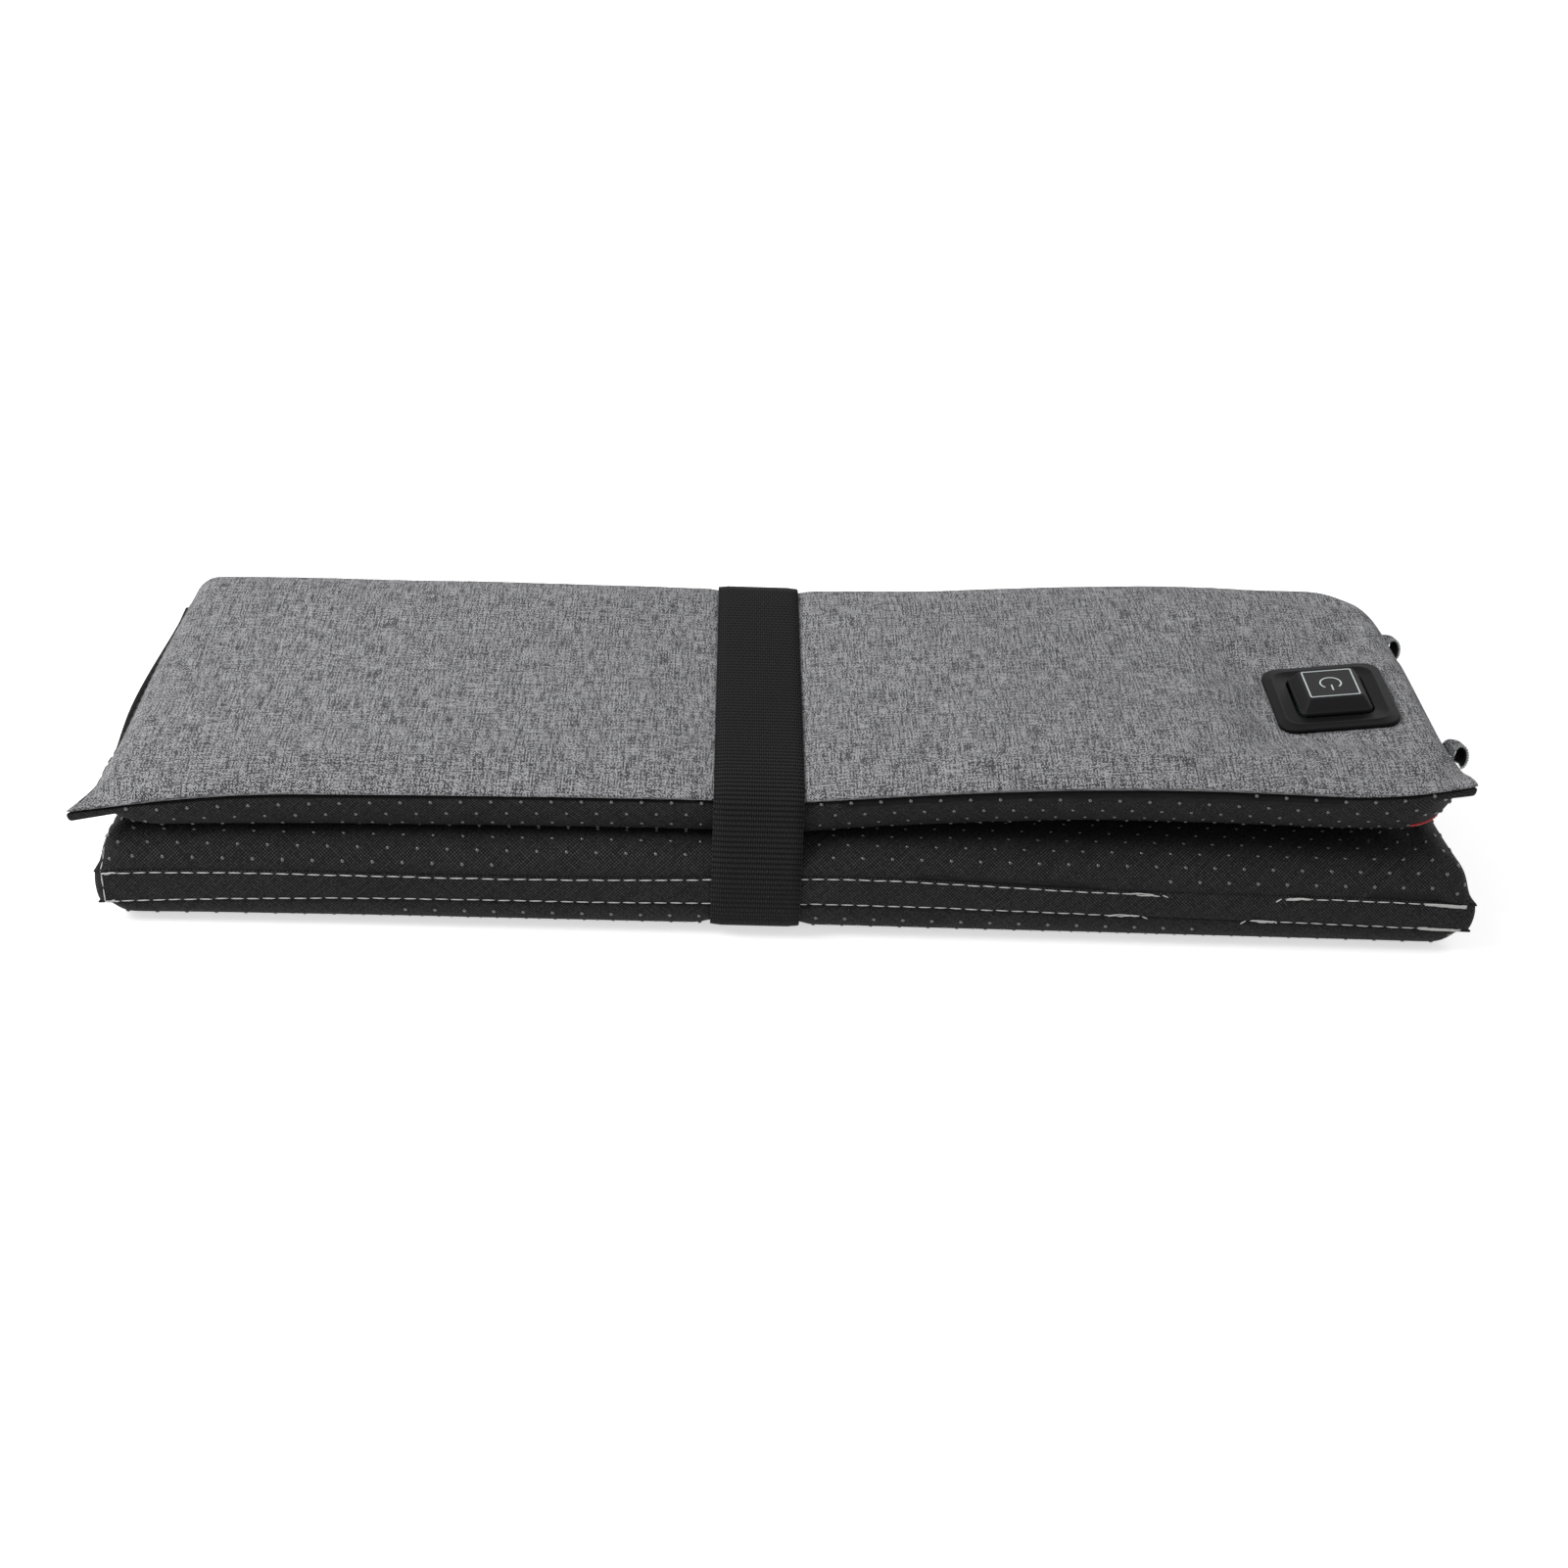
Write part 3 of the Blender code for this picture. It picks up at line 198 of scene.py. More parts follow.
class CushionStage(bpy.types.PropertyGroup):
    """Camera, floor and lamps"""

    azimuth: FloatProperty(
        name="Azimuth", description="Turn of the camera about the upright axis",
        default=math.radians(2.25), subtype="ANGLE",
    )
    elevation: FloatProperty(
        name="Elevation", description="Height of the camera above the horizon",
        default=math.radians(32.99), subtype="ANGLE",
    )
    roll: FloatProperty(
        name="Roll", description="Turn of the camera about its own line of sight",
        default=math.radians(2.74), subtype="ANGLE",
    )
    distance: length("Distance", "From the camera to its target", 0.68)
    focal_pixels: FloatProperty(
        name="Focal length", description="Focal length in pixels of the photograph's frame", default=2259.6
    )
    target_height: length("Target height", "Height of the camera's target", 11.3 * MM)
    sky: FloatProperty(name="Sky", description="Strength of the even light from all round", default=0.4)
    key: FloatProperty(name="Key lamp", description="Power of the main lamp", default=11.5, unit="POWER")


# Shape of a pad


def share(value, start, width):
    return min(max((value - start) / width, 0.0), 1.0)


def smooth(value):
    return value * value * (3 - 2 * value)


def rise(distance, radius):
    """Height of a quarter round, from 0 at the edge to 1 at its radius."""
    return math.sqrt(1 - (1 - share(distance, 0, radius)) ** 2)


def from_controller(x, y):
    """Distance from the controller's middle, along x or y, whichever is more."""
    return max(abs(x - CONTROLLER.x), abs(y - CONTROLLER.y))


def hump(x, centre, width):
    """A smooth hump along the cushion: 1 at its centre, near 0 beyond twice its width."""
    return math.exp(-(((x - centre) / width) ** 2))


def edge_distance(pad, x, y):
    """Distance inwards from the outline of the filled part, whose corners are rounded."""
    corner = TIGHT_CORNER
    if pad == "top" and (x > 0 or y < 0):
        corner = CORNER_ROUND if y < 0 else BACK_RIGHT_CORNER
    qx = abs(x) - (HALF_LENGTH - corner)
    qy = abs(y) - (HALF_DEPTH - corner)
    return corner - math.hypot(max(qx, 0), max(qy, 0)) - min(max(qx, qy), 0)


def swell_share(x):
    return math.sin(math.pi / 2 * share(x, SWELL_START, SWELL_LENGTH))


def swell(x, y):
    towards_front = share(-y, -HALF_DEPTH, 2 * HALF_DEPTH)
    return swell_share(x) * (SWELL_BACK + (SWELL_FRONT - SWELL_BACK) * towards_front)


def press(x, depth):
    return depth * (1 - smooth(share(abs(x - STRAP_X), STRAP_HALF + PRESS_MARGIN, PRESS_RAMP)))


def near_end(x, reach):
    """0 until a reach before the end at positive x, then 1 at the end."""
    return share(x, HALF_LENGTH - reach, reach)


def front_corner(x, y, reach):
    """1 at the front corner at positive x, 0 a reach away along either side."""
    return near_end(x, reach) * near_end(HALF_LENGTH - HALF_DEPTH - y, reach)


def end_reach(x, y):
    """How far the folded front corners at the right end lean out."""
    return END_REACH * front_corner(x, y, END_REACH_LENGTH)


def back_lift(x, y):
    """How far the fuller back stands above the crown."""
    return BACK_LIFT * (1 - 0.8 * hump(x, FLAT_SPOT_X, FLAT_SPOT_WIDTH)) * smooth(share(y, 0, HALF_DEPTH))


def front_seam(pad, x):
    if pad != "top":
        level = PAD_THICKNESS + (HINGE_WIDTH if pad == "middle" else -HINGE_WIDTH) / 2
        (left, left_reach), (right, right_reach) = HINGE_DROP_LEFT[pad], HINGE_DROP_RIGHT[pad]
        drop = left * near_end(-x, left_reach) ** 2 + right * near_end(x, right_reach) ** 2
        return level + HINGE_BOW[pad] * hump(x, BOW_X, BOW_WIDTH) - drop
    droop = CORNER_DROOP * near_end(-x, LEFT_DROOP_LENGTH) ** 2
    raised = RAISED_CORNER.z * near_end(x, RAISED_LENGTH) ** 2
    return 3 * PAD_THICKNESS - FRONT_SEAM_BELOW_TOP + swell(x, -HALF_DEPTH) - droop + raised


def back_seam(pad):
    if pad == "bottom":
        return BACK_SEAM_HEIGHT
    if pad == "middle":
        return 2 * PAD_THICKNESS - HINGE_WIDTH / 2
    return 2 * PAD_THICKNESS + HINGE_WIDTH / 2


def seam_height(pad, x, y):
    front, back = front_seam(pad, x), back_seam(pad)
    across = front + (back - front) * smooth(share(y, -HALF_DEPTH, 2 * HALF_DEPTH))
    if pad != "top" or x < 0:
        return across
    side, corner = (-1, front) if y < MOUTH_Y else (1, back)
    beside = HALF_DEPTH - side * MOUTH_Y - MOUTH_HALF
    mouth = MOUTH_HEIGHT + (corner - MOUTH_HEIGHT) * smooth(share(side * (y - MOUTH_Y), MOUTH_HALF, beside))
    return across + (mouth - across) * smooth(share(x, HALF_LENGTH - CORNER_ROUND, CORNER_ROUND))


def face_height(pad, x, y, upper):
    if not upper:
        return FLOORS[pad] + (press(x, UNDER_PRESS) if pad == "bottom" else SEAT)
    if pad != "top":
        return FLOORS[pad] + PAD_THICKNESS - SEAT
    belly = (1 - (x / HALF_LENGTH) ** 4) * (1 - (y / HALF_DEPTH) ** 4)
    crowned = 3 * PAD_THICKNESS - SEAT + CROWN * math.sqrt(max(belly, 0)) + swell(x, y) - press(x, TOP_PRESS)
    crowned += back_lift(x, y)
    place = pulled(pad, x, y, True)
    flat = 1 - smooth(share(from_controller(*place) - FLANGE_HALF, FLAT_MARGIN, FLAT_BLEND))
    plane = CONTROLLER.z + (place.x - CONTROLLER.x) * math.tan(CONTROLLER_TILT)
    return crowned + (plane - crowned) * flat


def side_radius(pad, upper, x, y):
    if pad == "top" and not upper and y < 0:
        return FRONT_UNDER_ROUND + (SWOLLEN_UNDER_ROUND - FRONT_UNDER_ROUND) * swell_share(x)
    return SIDE_ROUND


def mouth_gap(pad, x, y):
    """Half of the gap between the covers' rims: the pocket's mouth at the right end, a seam elsewhere."""
    if pad != "top" or x < HALF_LENGTH - SEAT:
        return SEAT
    return SEAT + MOUTH_OPENING / 2 * math.sqrt(max(1 - ((y - MOUTH_Y) / MOUTH_HALF) ** 2, 0))


def end_pull(pad, x, y):
    depth = MOUTH_PULL if pad == "top" and x > 0 else END_PULL
    return depth * (1 - (y / HALF_DEPTH) ** 4) + BACK_TAPER[pad] * share(y, 0, HALF_DEPTH) ** 2


def edge_pull(pad, along, at_front, grey):
    if (pad, at_front) in (("top", True), ("bottom", False)):
        return FREE_EDGE_PULL * (1 - along ** 2)
    inner_cover = grey if at_front else not grey
    return LINING_SETBACK if inner_cover else 0


def pulled(pad, x, y, grey):
    """Moves a point of the rectangle to the sewn outline."""
    along, across = x / HALF_LENGTH, y / HALF_DEPTH
    place = Vector((x - along * end_pull(pad, x, y), y - across * edge_pull(pad, along, y < 0, grey)))
    if pad != "top":
        place.x += end_reach(x, y)
        return place
    if y < 0:
        place.x -= TIP_REACH * front_corner(-x, y, TIP_LENGTH) ** 2
        place -= RAISED_CORNER.xy * front_corner(x, y, RAISED_LENGTH) ** 2
    if x < 0 and not grey:
        place.x += along * END_LEDGE * smooth(share(y, -HALF_DEPTH, HALF_DEPTH))
    return place


def ripple(pad, upper, x, y):
    """Slow unevenness of the foam under the cloth, none at the seams or under the flange."""
    place = Vector((x * 22, y * 30, FLOORS[pad] * 900 + (5 if upper else 0)))
    uneven = noise.noise(place) + 0.5 * noise.noise(place * 2.3)
    calm = smooth(share(edge_distance(pad, x, y), 0, SIDE_ROUND))
    if pad == "top" and upper:
        calm *= smooth(share(from_controller(x, y) - FLANGE_HALF, FLAT_MARGIN, FLAT_BLEND))
        return uneven * calm * RIPPLE_ON_TOP
    return min(uneven * calm, 0) * RIPPLE_ELSEWHERE


def cover_point(pad, upper, x, y):
    """A point on the outside of a cover, from its place in the unpulled rectangle."""
    sign = 1 if upper else -1
    seam = seam_height(pad, x, y)
    at_rim = max(abs(x) - HALF_LENGTH, abs(y) - HALF_DEPTH) > -SEAT
    if at_rim:
        height = seam + sign * mouth_gap(pad, x, y)
    else:
        sag = CORNER_SAG * front_corner(abs(x), y, TIP_LENGTH) if pad == "top" and not upper else 0
        lip = sign * (LIP + SEAT + sag)
        lifted = rise(edge_distance(pad, x, y), side_radius(pad, upper, x, y))
        face = face_height(pad, x, y, upper) + sign * ripple(pad, upper, x, y)
        height = seam + lip + (face - seam - lip) * lifted
    return Vector((*pulled(pad, x, y, upper == GREY_UP[pad]), height))


def stations(half, cell, marks=()):
    """Places of the grid lines along one side: close together over the rounded edge, then even."""
    edge_cells = 7
    edge = [SIDE_ROUND * (1 - math.cos(math.pi / 2 * i / edge_cells)) for i in range(edge_cells)]
    inner = half - SIDE_ROUND
    stops = sorted({-inner, inner, *marks})
    middle = []
    for low, high in zip(stops, stops[1:]):
        count = max(1, round((high - low) / cell))
        middle += [low + (high - low) * i / count for i in range(count)]
    return [-half + step for step in edge] + middle + [inner] + [half - step for step in reversed(edge)]


# Making pieces


def object_from(name, made, *materials, smooth_faces=True):
    """Turns a bmesh into an object in the scene, with its place in its mesh."""
    data = bpy.data.meshes.new(name)
    made.to_mesh(data)
    made.free()
    for material in materials:
        data.materials.append(material)
    if smooth_faces:
        data.polygons.foreach_set("use_smooth", [True] * len(data.polygons))
    piece = bpy.data.objects.new(name, data)
    bpy.context.scene.collection.objects.link(piece)
    return piece


def subdivide(piece, levels=1):
    step = piece.modifiers.new("subdivision", "SUBSURF")
    step.levels = step.render_levels = levels
    return piece


def thicken(piece, thickness, offset=-1.0, inner_material=0):
    wall = piece.modifiers.new("cloth", "SOLIDIFY")
    wall.thickness, wall.offset, wall.material_offset = thickness, offset, inner_material
    return wall


def only(kind, items):
    """The items of one kind from a list of vertices, edges and faces."""
    return [item for item in items if isinstance(item, kind)]


def boxed(low, high):
    """A bmesh box between two corners."""
    made = bmesh.new()
    bmesh.ops.create_cube(made, size=1)
    bmesh.ops.scale(made, vec=high - low, verts=made.verts)
    bmesh.ops.translate(made, vec=(high + low) / 2, verts=made.verts)
    return made


def settle(piece, body, slot, *nodes):
    """Gives a piece its body and hides the CAD nodes that it stands for; its material slot is not used."""
    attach(piece, body)
    if nodes:
        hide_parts(*nodes)
    return piece


def write_map(made, places):
    """Writes the cloth map, in metres along the cloth, from each vertex's place on it."""
    layer = made.loops.layers.uv.new("cloth")
    for face in made.faces:
        for loop in face.loops:
            loop[layer].uv = places[loop.vert]


class ClothGrid:
    """A grid of points on a cover, with each point's place along the cloth."""

    def __init__(self, rows):
        self.rows = rows
        middle_row, middle_column = len(rows) // 2, len(rows[0]) // 2
        self.map = [[None] * len(row) for row in rows]
        for j, row in enumerate(rows):
            along = [0.0]
            for a, b in zip(row, row[1:]):
                along.append(along[-1] + (b - a).length)
            for i in range(len(row)):
                self.map[j][i] = [along[i] - along[middle_column], 0.0]
        for i in range(len(rows[0])):
            across = [0.0]
            for low, high in zip(rows, rows[1:]):
                across.append(across[-1] + (high[i] - low[i]).length)
            for j in range(len(rows)):
                self.map[j][i][1] = across[j] - across[middle_row]

    def bmesh_grid(self):
        """The grid as a bmesh and each vertex's place on the cloth."""
        made = bmesh.new()
        columns, rows = len(self.rows[0]), len(self.rows)
        bmesh.ops.create_grid(made, x_segments=columns - 1, y_segments=rows - 1, size=1)
        made.verts.ensure_lookup_table()
        places = {}
        for index, vert in enumerate(made.verts):
            j, i = divmod(index, columns)
            vert.co = self.rows[j][i]
            places[vert] = self.map[j][i]
        return made, places

    def lattice(self, pitch):
        """Points and normals of a staggered dot pattern that follows the cloth."""
        half = pitch / 2
        for j in range(len(self.rows) - 1):
            for i in range(len(self.rows[0]) - 1):
                (u0, v0), (u1, _), (_, v1) = self.map[j][i], self.map[j][i + 1], self.map[j + 1][i]
                if u1 <= u0 or v1 <= v0:
                    continue
                for n in range(math.ceil(v0 / half), math.ceil(v1 / half)):
                    shift = half if n % 2 else 0
                    for m in range(math.ceil((u0 - shift) / pitch), math.ceil((u1 - shift) / pitch)):
                        s, t = (m * pitch + shift - u0) / (u1 - u0), (n * half - v0) / (v1 - v0)
                        a, b = self.rows[j][i], self.rows[j][i + 1]
                        c, d = self.rows[j + 1][i], self.rows[j + 1][i + 1]
                        normal = (d - a).cross(c - b)
                        if normal.length > 0:
                            yield a.lerp(b, s).lerp(c.lerp(d, s), t), normal.normalized()


def facing(place, normal, *scale):
    """A matrix at a place whose Z follows a normal."""
    turn = normal.to_track_quat("Z", "Y").to_matrix().to_4x4()
    return Matrix.Translation(place) @ turn @ Matrix.Diagonal((*scale, 1))


GRIDS = {}


def cover_grid(pad, upper):
    """The grid of one cover, made once and kept for the dots and stitches that lie on it."""
    if (pad, upper) not in GRIDS:
        cell = bpy.context.scene.cushion_sizes.cell
        marks_x = [STRAP_X + side * (STRAP_HALF + reach) for side in (-1, 1) for reach in (0, 3 * MM)]
        marks_y = []
        if pad == "top":
            unpulled = 1 / (1 - MOUTH_PULL / HALF_LENGTH)
            steps = [side * reach for side in (-1, 1) for reach in (11.1 * MM, 18 * MM)]
            marks_x += [(CONTROLLER.x + step) * unpulled for step in steps]
            marks_y = [CONTROLLER.y + step for step in steps]
        xs, ys = stations(HALF_LENGTH, cell, marks_x), stations(HALF_DEPTH, cell, marks_y)
        GRIDS[pad, upper] = ClothGrid([[cover_point(pad, upper, x, y) for x in xs] for y in ys])
    return GRIDS[pad, upper]


def band_edges(side, x):
    """Heights of the two seams of a hinge band."""
    if side < 0:
        return front_seam("bottom", x), front_seam("middle", x)
    return back_seam("middle"), back_seam("top")


def band_path(setback, end_inset):
    """Places along a hinge band and the way out from each: along the fold, then round both ends."""
    turn, tail, tuck, cells, turn_steps = 2.5 * MM, 3.5 * MM, 0.4 * MM, 56, 4
    straight = HALF_LENGTH - turn - setback - end_inset
    half = [((straight * i / cells, 0), (0, 1)) for i in range(cells)]
    for i in range(turn_steps + 1):
        a = math.pi / 2 * i / turn_steps
        out_x, out_y = math.sin(a), math.cos(a)
        half.append(((straight + turn * out_x, turn * (1 - out_y)), (out_x, out_y)))
    half.append(((straight + turn - tuck, turn + tail), (1, 0)))
    places = [((-x, back), (-out_x, out_y)) for (x, back), (out_x, out_y) in reversed(half[1:])] + half
    front = setback - HALF_DEPTH
    return [(x, back + front, Vector((out_x, -out_y))) for (x, back), (out_x, out_y) in places]


def sewn_weight(pad, upper, place):
    """How firmly a point of a cover is held: 1 at the seams, the strap and the flange, 0 between them."""
    # For each place that holds the cloth: the distance from it, the part held fully and the part held less
    holds = [
        (min(HALF_LENGTH - abs(place.x), HALF_DEPTH - abs(place.y)), 5 * MM, 10 * MM),
        (abs(place.x - STRAP_X), STRAP_HALF + 3 * MM, 8 * MM),
    ]
    if pad == "top" and upper:
        holds.append((from_controller(*place.xy) - FLANGE_HALF, FLAT_MARGIN, 6 * MM))
    return max(1 - smooth(share(distance, full, less)) for distance, full, less in holds)


def swell_cloth(piece, pad, upper):
    """Lets a cover swell and crease in a cloth simulation and keeps each point near its sewn place."""
    scene = bpy.context.scene
    sizes = scene.cushion_sizes
    vertices = piece.data.vertices
    before = [vertex.co.copy() for vertex in vertices]
    weights = [sewn_weight(pad, upper, place) for place in before]
    group = piece.vertex_groups.new(name="sewn")
    for index, weight in enumerate(weights):
        group.add([index], weight, "REPLACE")
    cloth = piece.modifiers.new("swelling", "CLOTH")
    cloth.settings.vertex_group_mass = group.name
    cloth.settings.use_pressure = True
    cloth.settings.uniform_pressure_force = sizes.pressure
    cloth.settings.shrink_min = -sizes.fullness
    cloth.settings.effector_weights.gravity = 0
    cloth.collision_settings.use_collision = False
    for step in range(1, SWELL_STEPS + 1):
        scene.frame_set(step)
    swollen = piece.evaluated_get(bpy.context.evaluated_depsgraph_get()).data.vertices
    after = [vertex.co.copy() for vertex in swollen]
    piece.modifiers.remove(cloth)
    piece.vertex_groups.remove(group)
    scene.frame_set(1)
    free = pad == "top" and upper
    for vertex, start, end, weight in zip(vertices, before, after, weights):
        move = end - start
        move *= min(1, sizes.cap * (1 - weight) / max(move.length, 0.001 * MM))
        if not free:
            outwards = move.z if upper else -move.z
            move.z -= max(outwards, 0) * (1 if upper else -1)
        vertex.co = start + move


def on_outline(edge):
    """True beside the cover's outline, false beside the button's hole."""
    along = max(abs(vert.co.x) / HALF_LENGTH for vert in edge.verts)
    across = max(abs(vert.co.y) / HALF_DEPTH for vert in edge.verts)
    return along > 0.96 or across > 0.9


def make_cover(name, pad, upper, material):
    """One cover: its grid with the cloth turned in at the seams, swollen by the foam."""
    sizes = bpy.context.scene.cushion_sizes
    made, places = cover_grid(pad, upper).bmesh_grid()
    if pad == "top" and upper:
        inside = [
            face for face in made.faces if from_controller(*face.calc_center_median().xy) < BUTTON_HOLE_HALF
        ]
        bmesh.ops.delete(made, geom=inside, context="FACES")
    rim = [edge for edge in made.edges if edge.is_boundary and on_outline(edge)]
    grown = bmesh.ops.extrude_edge_only(made, edges=rim)["geom"]
    for vert in only(bmesh.types.BMVert, grown):
        old = next(edge.other_vert(vert) for edge in vert.link_edges if edge.other_vert(vert) in places)
        places[vert] = places[old]
        inward = Vector((-vert.co.x / HALF_LENGTH, -vert.co.y / HALF_DEPTH, 0))
        nearest = 0.96 * max(abs(inward.x), abs(inward.y))
        inward = Vector([part if abs(part) > nearest else 0 for part in inward])
        vert.co += inward.normalized() * sizes.allowance
    if not upper:
        bmesh.ops.reverse_faces(made, faces=made.faces[:])
    write_map(made, places)
    piece = object_from(name, made, material)
    swell_cloth(piece, pad, upper)
    rows = cover_grid(pad, upper).rows
    if not (pad == "top" and upper):
        for index, vertex in enumerate(piece.data.vertices[: len(rows) * len(rows[0])]):
            rows[index // len(rows[0])][index % len(rows[0])] = vertex.co.copy()
    thicken(piece, sizes.cloth)
    subdivide(piece)
    return piece


# Materials


def add_node(tree, kind, *inputs, **settings):
    """Adds a node, sets its properties, and links or sets its inputs in order. None leaves an input."""
    made = tree.nodes.new(kind)
    for key, value in settings.items():
        setattr(made, key, value)
    for socket, value in zip(made.inputs, inputs):
        if isinstance(value, bpy.types.NodeSocket):
            tree.links.new(value, socket)
        elif value is not None:
            socket.default_value = value
    return made


def mixed(tree, factor, low, high):
    """A number between two others."""
    made = add_node(tree, "ShaderNodeMix")
    for label, socket in (("Factor", factor), ("A", low), ("B", high)):
        tree.links.new(socket, made.inputs[label])
    return made.outputs[0]


def maths(tree, operation, *inputs, clamp=False):
    return add_node(tree, "ShaderNodeMath", *inputs, operation=operation, use_clamp=clamp).outputs[0]


def ranged(tree, value, low, high, to_low=0.0, to_high=1.0):
    """A number mapped from one range to another, and held inside it."""
    return add_node(tree, "ShaderNodeMapRange", value, low, high, to_low, to_high).outputs[0]


def grouped(tree, group, *inputs):
    return add_node(tree, "ShaderNodeGroup", *inputs, node_tree=group).outputs


def seen_directly(tree):
    """1 for what the camera sees, straight on or in a shiny surface, 0 for light that spreads."""
    rays = add_node(tree, "ShaderNodeLightPath").outputs
    seen = maths(tree, "MAXIMUM", rays["Is Camera Ray"], rays["Is Glossy Ray"])
    return maths(tree, "MAXIMUM", seen, rays["Is Transmission Ray"])


def new_group(name, inputs, outputs):
    """A shader node group with named float, colour or vector sockets."""
    group = bpy.data.node_groups.new(name, "ShaderNodeTree")
    kinds = {"float": "NodeSocketFloat", "vector": "NodeSocketVector", "colour": "NodeSocketColor"}
    for in_out, sockets in (("INPUT", inputs), ("OUTPUT", outputs)):
        for label, kind, *default in sockets:
            made = group.interface.new_socket(label, in_out=in_out, socket_type=kinds[kind])
            if default:
                made.default_value = default[0]
    return group, group.nodes.new("NodeGroupInput").outputs, group.nodes.new("NodeGroupOutput").inputs


def scaled_noise(tree, x, y, scale_x, scale_y, detail, seed):
    """Noise over two numbers, each with its own scale. Each seed gives another pattern."""
    across = maths(tree, "MULTIPLY", x, scale_x)
    along = maths(tree, "MULTIPLY_ADD", y, scale_y, seed)
    vector = add_node(tree, "ShaderNodeCombineXYZ", across, along, seed).outputs[0]
    return add_node(tree, "ShaderNodeTexNoise", vector, None, 1.0, detail, 0.5).outputs[0]


@functools.cache
def woven_group():
    """Plain weave: height, which thread is on top, and the tone of each thread along its length."""
    group, given, out = new_group(
        "woven threads",
        [("Place", "vector"), ("Pitch", "float", 0.0005), ("Slub", "float", 0.5)],
        [("Height", "float"), ("Over", "float"), ("Tone", "float"), ("Slubs", "float")],
    )
    place = add_node(group, "ShaderNodeSeparateXYZ", given["Place"]).outputs
    u, v = (maths(group, "DIVIDE", place[axis], given["Pitch"]) for axis in ("X", "Y"))
    column, row = maths(group, "FLOOR", u), maths(group, "FLOOR", v)
    over = maths(group, "PINGPONG", maths(group, "ADD", column, row), 1.0)
    bump_u, bump_v = (
        maths(group, "ABSOLUTE", maths(group, "SINE", maths(group, "MULTIPLY", value, math.pi)))
        for value in (u, v)
    )
    height = maths(
        group, "MULTIPLY",
        mixed(group, over, bump_v, bump_u),
        maths(group, "MULTIPLY_ADD", mixed(group, over, bump_u, bump_v), 0.4, 0.6),
    )
    # Each thread keeps its tone for some fifteen crossings
    upright = scaled_noise(group, column, v, 0.8, 0.055, detail=2.0, seed=11.0)
    level = scaled_noise(group, row, u, 0.75, 0.07, detail=2.0, seed=47.0)
    tone = mixed(group, over, level, upright)
    grain = scaled_noise(group, u, v, 0.9, 0.8, detail=0.0, seed=5.0)
    tone = maths(group, "ADD", maths(group, "MULTIPLY", tone, 0.5), maths(group, "MULTIPLY", grain, 0.4))
    tone = maths(group, "MULTIPLY_ADD", upright, 0.1, tone)
    # Slubs are rare, long and pale, and rarer still in the level threads
    long_u = scaled_noise(group, column, v, 0.71, 0.02, detail=1.0, seed=83.0)
    long_v = scaled_noise(group, row, u, 0.71, 0.03, detail=1.0, seed=29.0)
    slubs = maths(group, "MAXIMUM", long_u, maths(group, "MULTIPLY", long_v, 0.94))
    slubs = maths(group, "MULTIPLY", ranged(group, slubs, 0.6, 0.7), given["Slub"])
    for label, socket in (("Height", height), ("Over", over), ("Tone", tone), ("Slubs", slubs)):
        group.links.new(socket, out[label])
    return group


@functools.cache
def wear_group():
    """Slow cloudy change in tone, as from handling and dust."""
    group, given, out = new_group(
        "cloudy wear",
        [("Place", "vector"), ("Scale", "float", 20.0), ("Amount", "float", 0.1)],
        [("Factor", "float"), ("Dust", "float")],
    )
    cloud = add_node(group, "ShaderNodeTexNoise", given["Place"], None, given["Scale"], 4.0, 0.6).outputs[0]
    twice = maths(group, "MULTIPLY", given["Amount"], 2.0)
    factor = maths(group, "MULTIPLY_ADD", maths(group, "SUBTRACT", cloud, 0.5), twice, 1.0)
    fine_scale = maths(group, "MULTIPLY", given["Scale"], 40.0)
    fine = add_node(group, "ShaderNodeTexNoise", given["Place"], None, fine_scale, 2.0, 0.5).outputs[0]
    group.links.new(factor, out["Factor"])
    group.links.new(ranged(group, fine, 0.7, 0.85), out["Dust"])
    return group


def start_material(name, roughness=0.9, sheen=0.0, specular=0.4):
    """A material with its nodes and its Principled shader."""
    material = bpy.data.materials.new(name)
    material.use_nodes = True
    shader = material.node_tree.nodes["Principled BSDF"]
    shader.inputs["Roughness"].default_value = roughness
    shader.inputs["Sheen Weight"].default_value = sheen
    shader.inputs["Sheen Roughness"].default_value = 0.5
    shader.inputs["Specular IOR Level"].default_value = specular
    return material, material.node_tree, shader


def cloth_place(tree):
    return add_node(tree, "ShaderNodeUVMap", uv_map="cloth").outputs[0]


def object_place(tree):
    return add_node(tree, "ShaderNodeTexCoord").outputs["Object"]


def tint(tree, factor, dark, light):
    """A colour between two, by a factor."""
    made = add_node(tree, "ShaderNodeMix", data_type="RGBA")
    tree.links.new(factor, made.inputs["Factor"])
    made.inputs["A"].default_value, made.inputs["B"].default_value = (*dark, 1), (*light, 1)
    return made.outputs["Result"]


def shade(tree, colour_socket, factor):
    """A colour made lighter or darker by a factor."""
    made = add_node(tree, "ShaderNodeVectorMath", operation="SCALE")
    tree.links.new(colour_socket, made.inputs[0])
    tree.links.new(factor, made.inputs["Scale"])
    return made.outputs[0]


def bump(tree, height, distance, shader, strength=1.0):
    made = add_node(tree, "ShaderNodeBump")
    made.inputs["Strength"].default_value, made.inputs["Distance"].default_value = strength, distance
    tree.links.new(height, made.inputs["Height"])
    tree.links.new(made.outputs[0], shader.inputs["Normal"])


def paint(tree, shader, wear, base, dusty, tone):
    """Links a base colour with paler dust, made lighter or darker by a tone and by wear. In the woven cloths
    the tone also holds painted shade and light from the weave's height.
    """
    mix = tint(tree, wear["Dust"], base, dusty)
    factor = maths(tree, "MULTIPLY", tone, wear["Factor"])
    tree.links.new(shade(tree, mix, factor), shader.inputs["Base Color"])


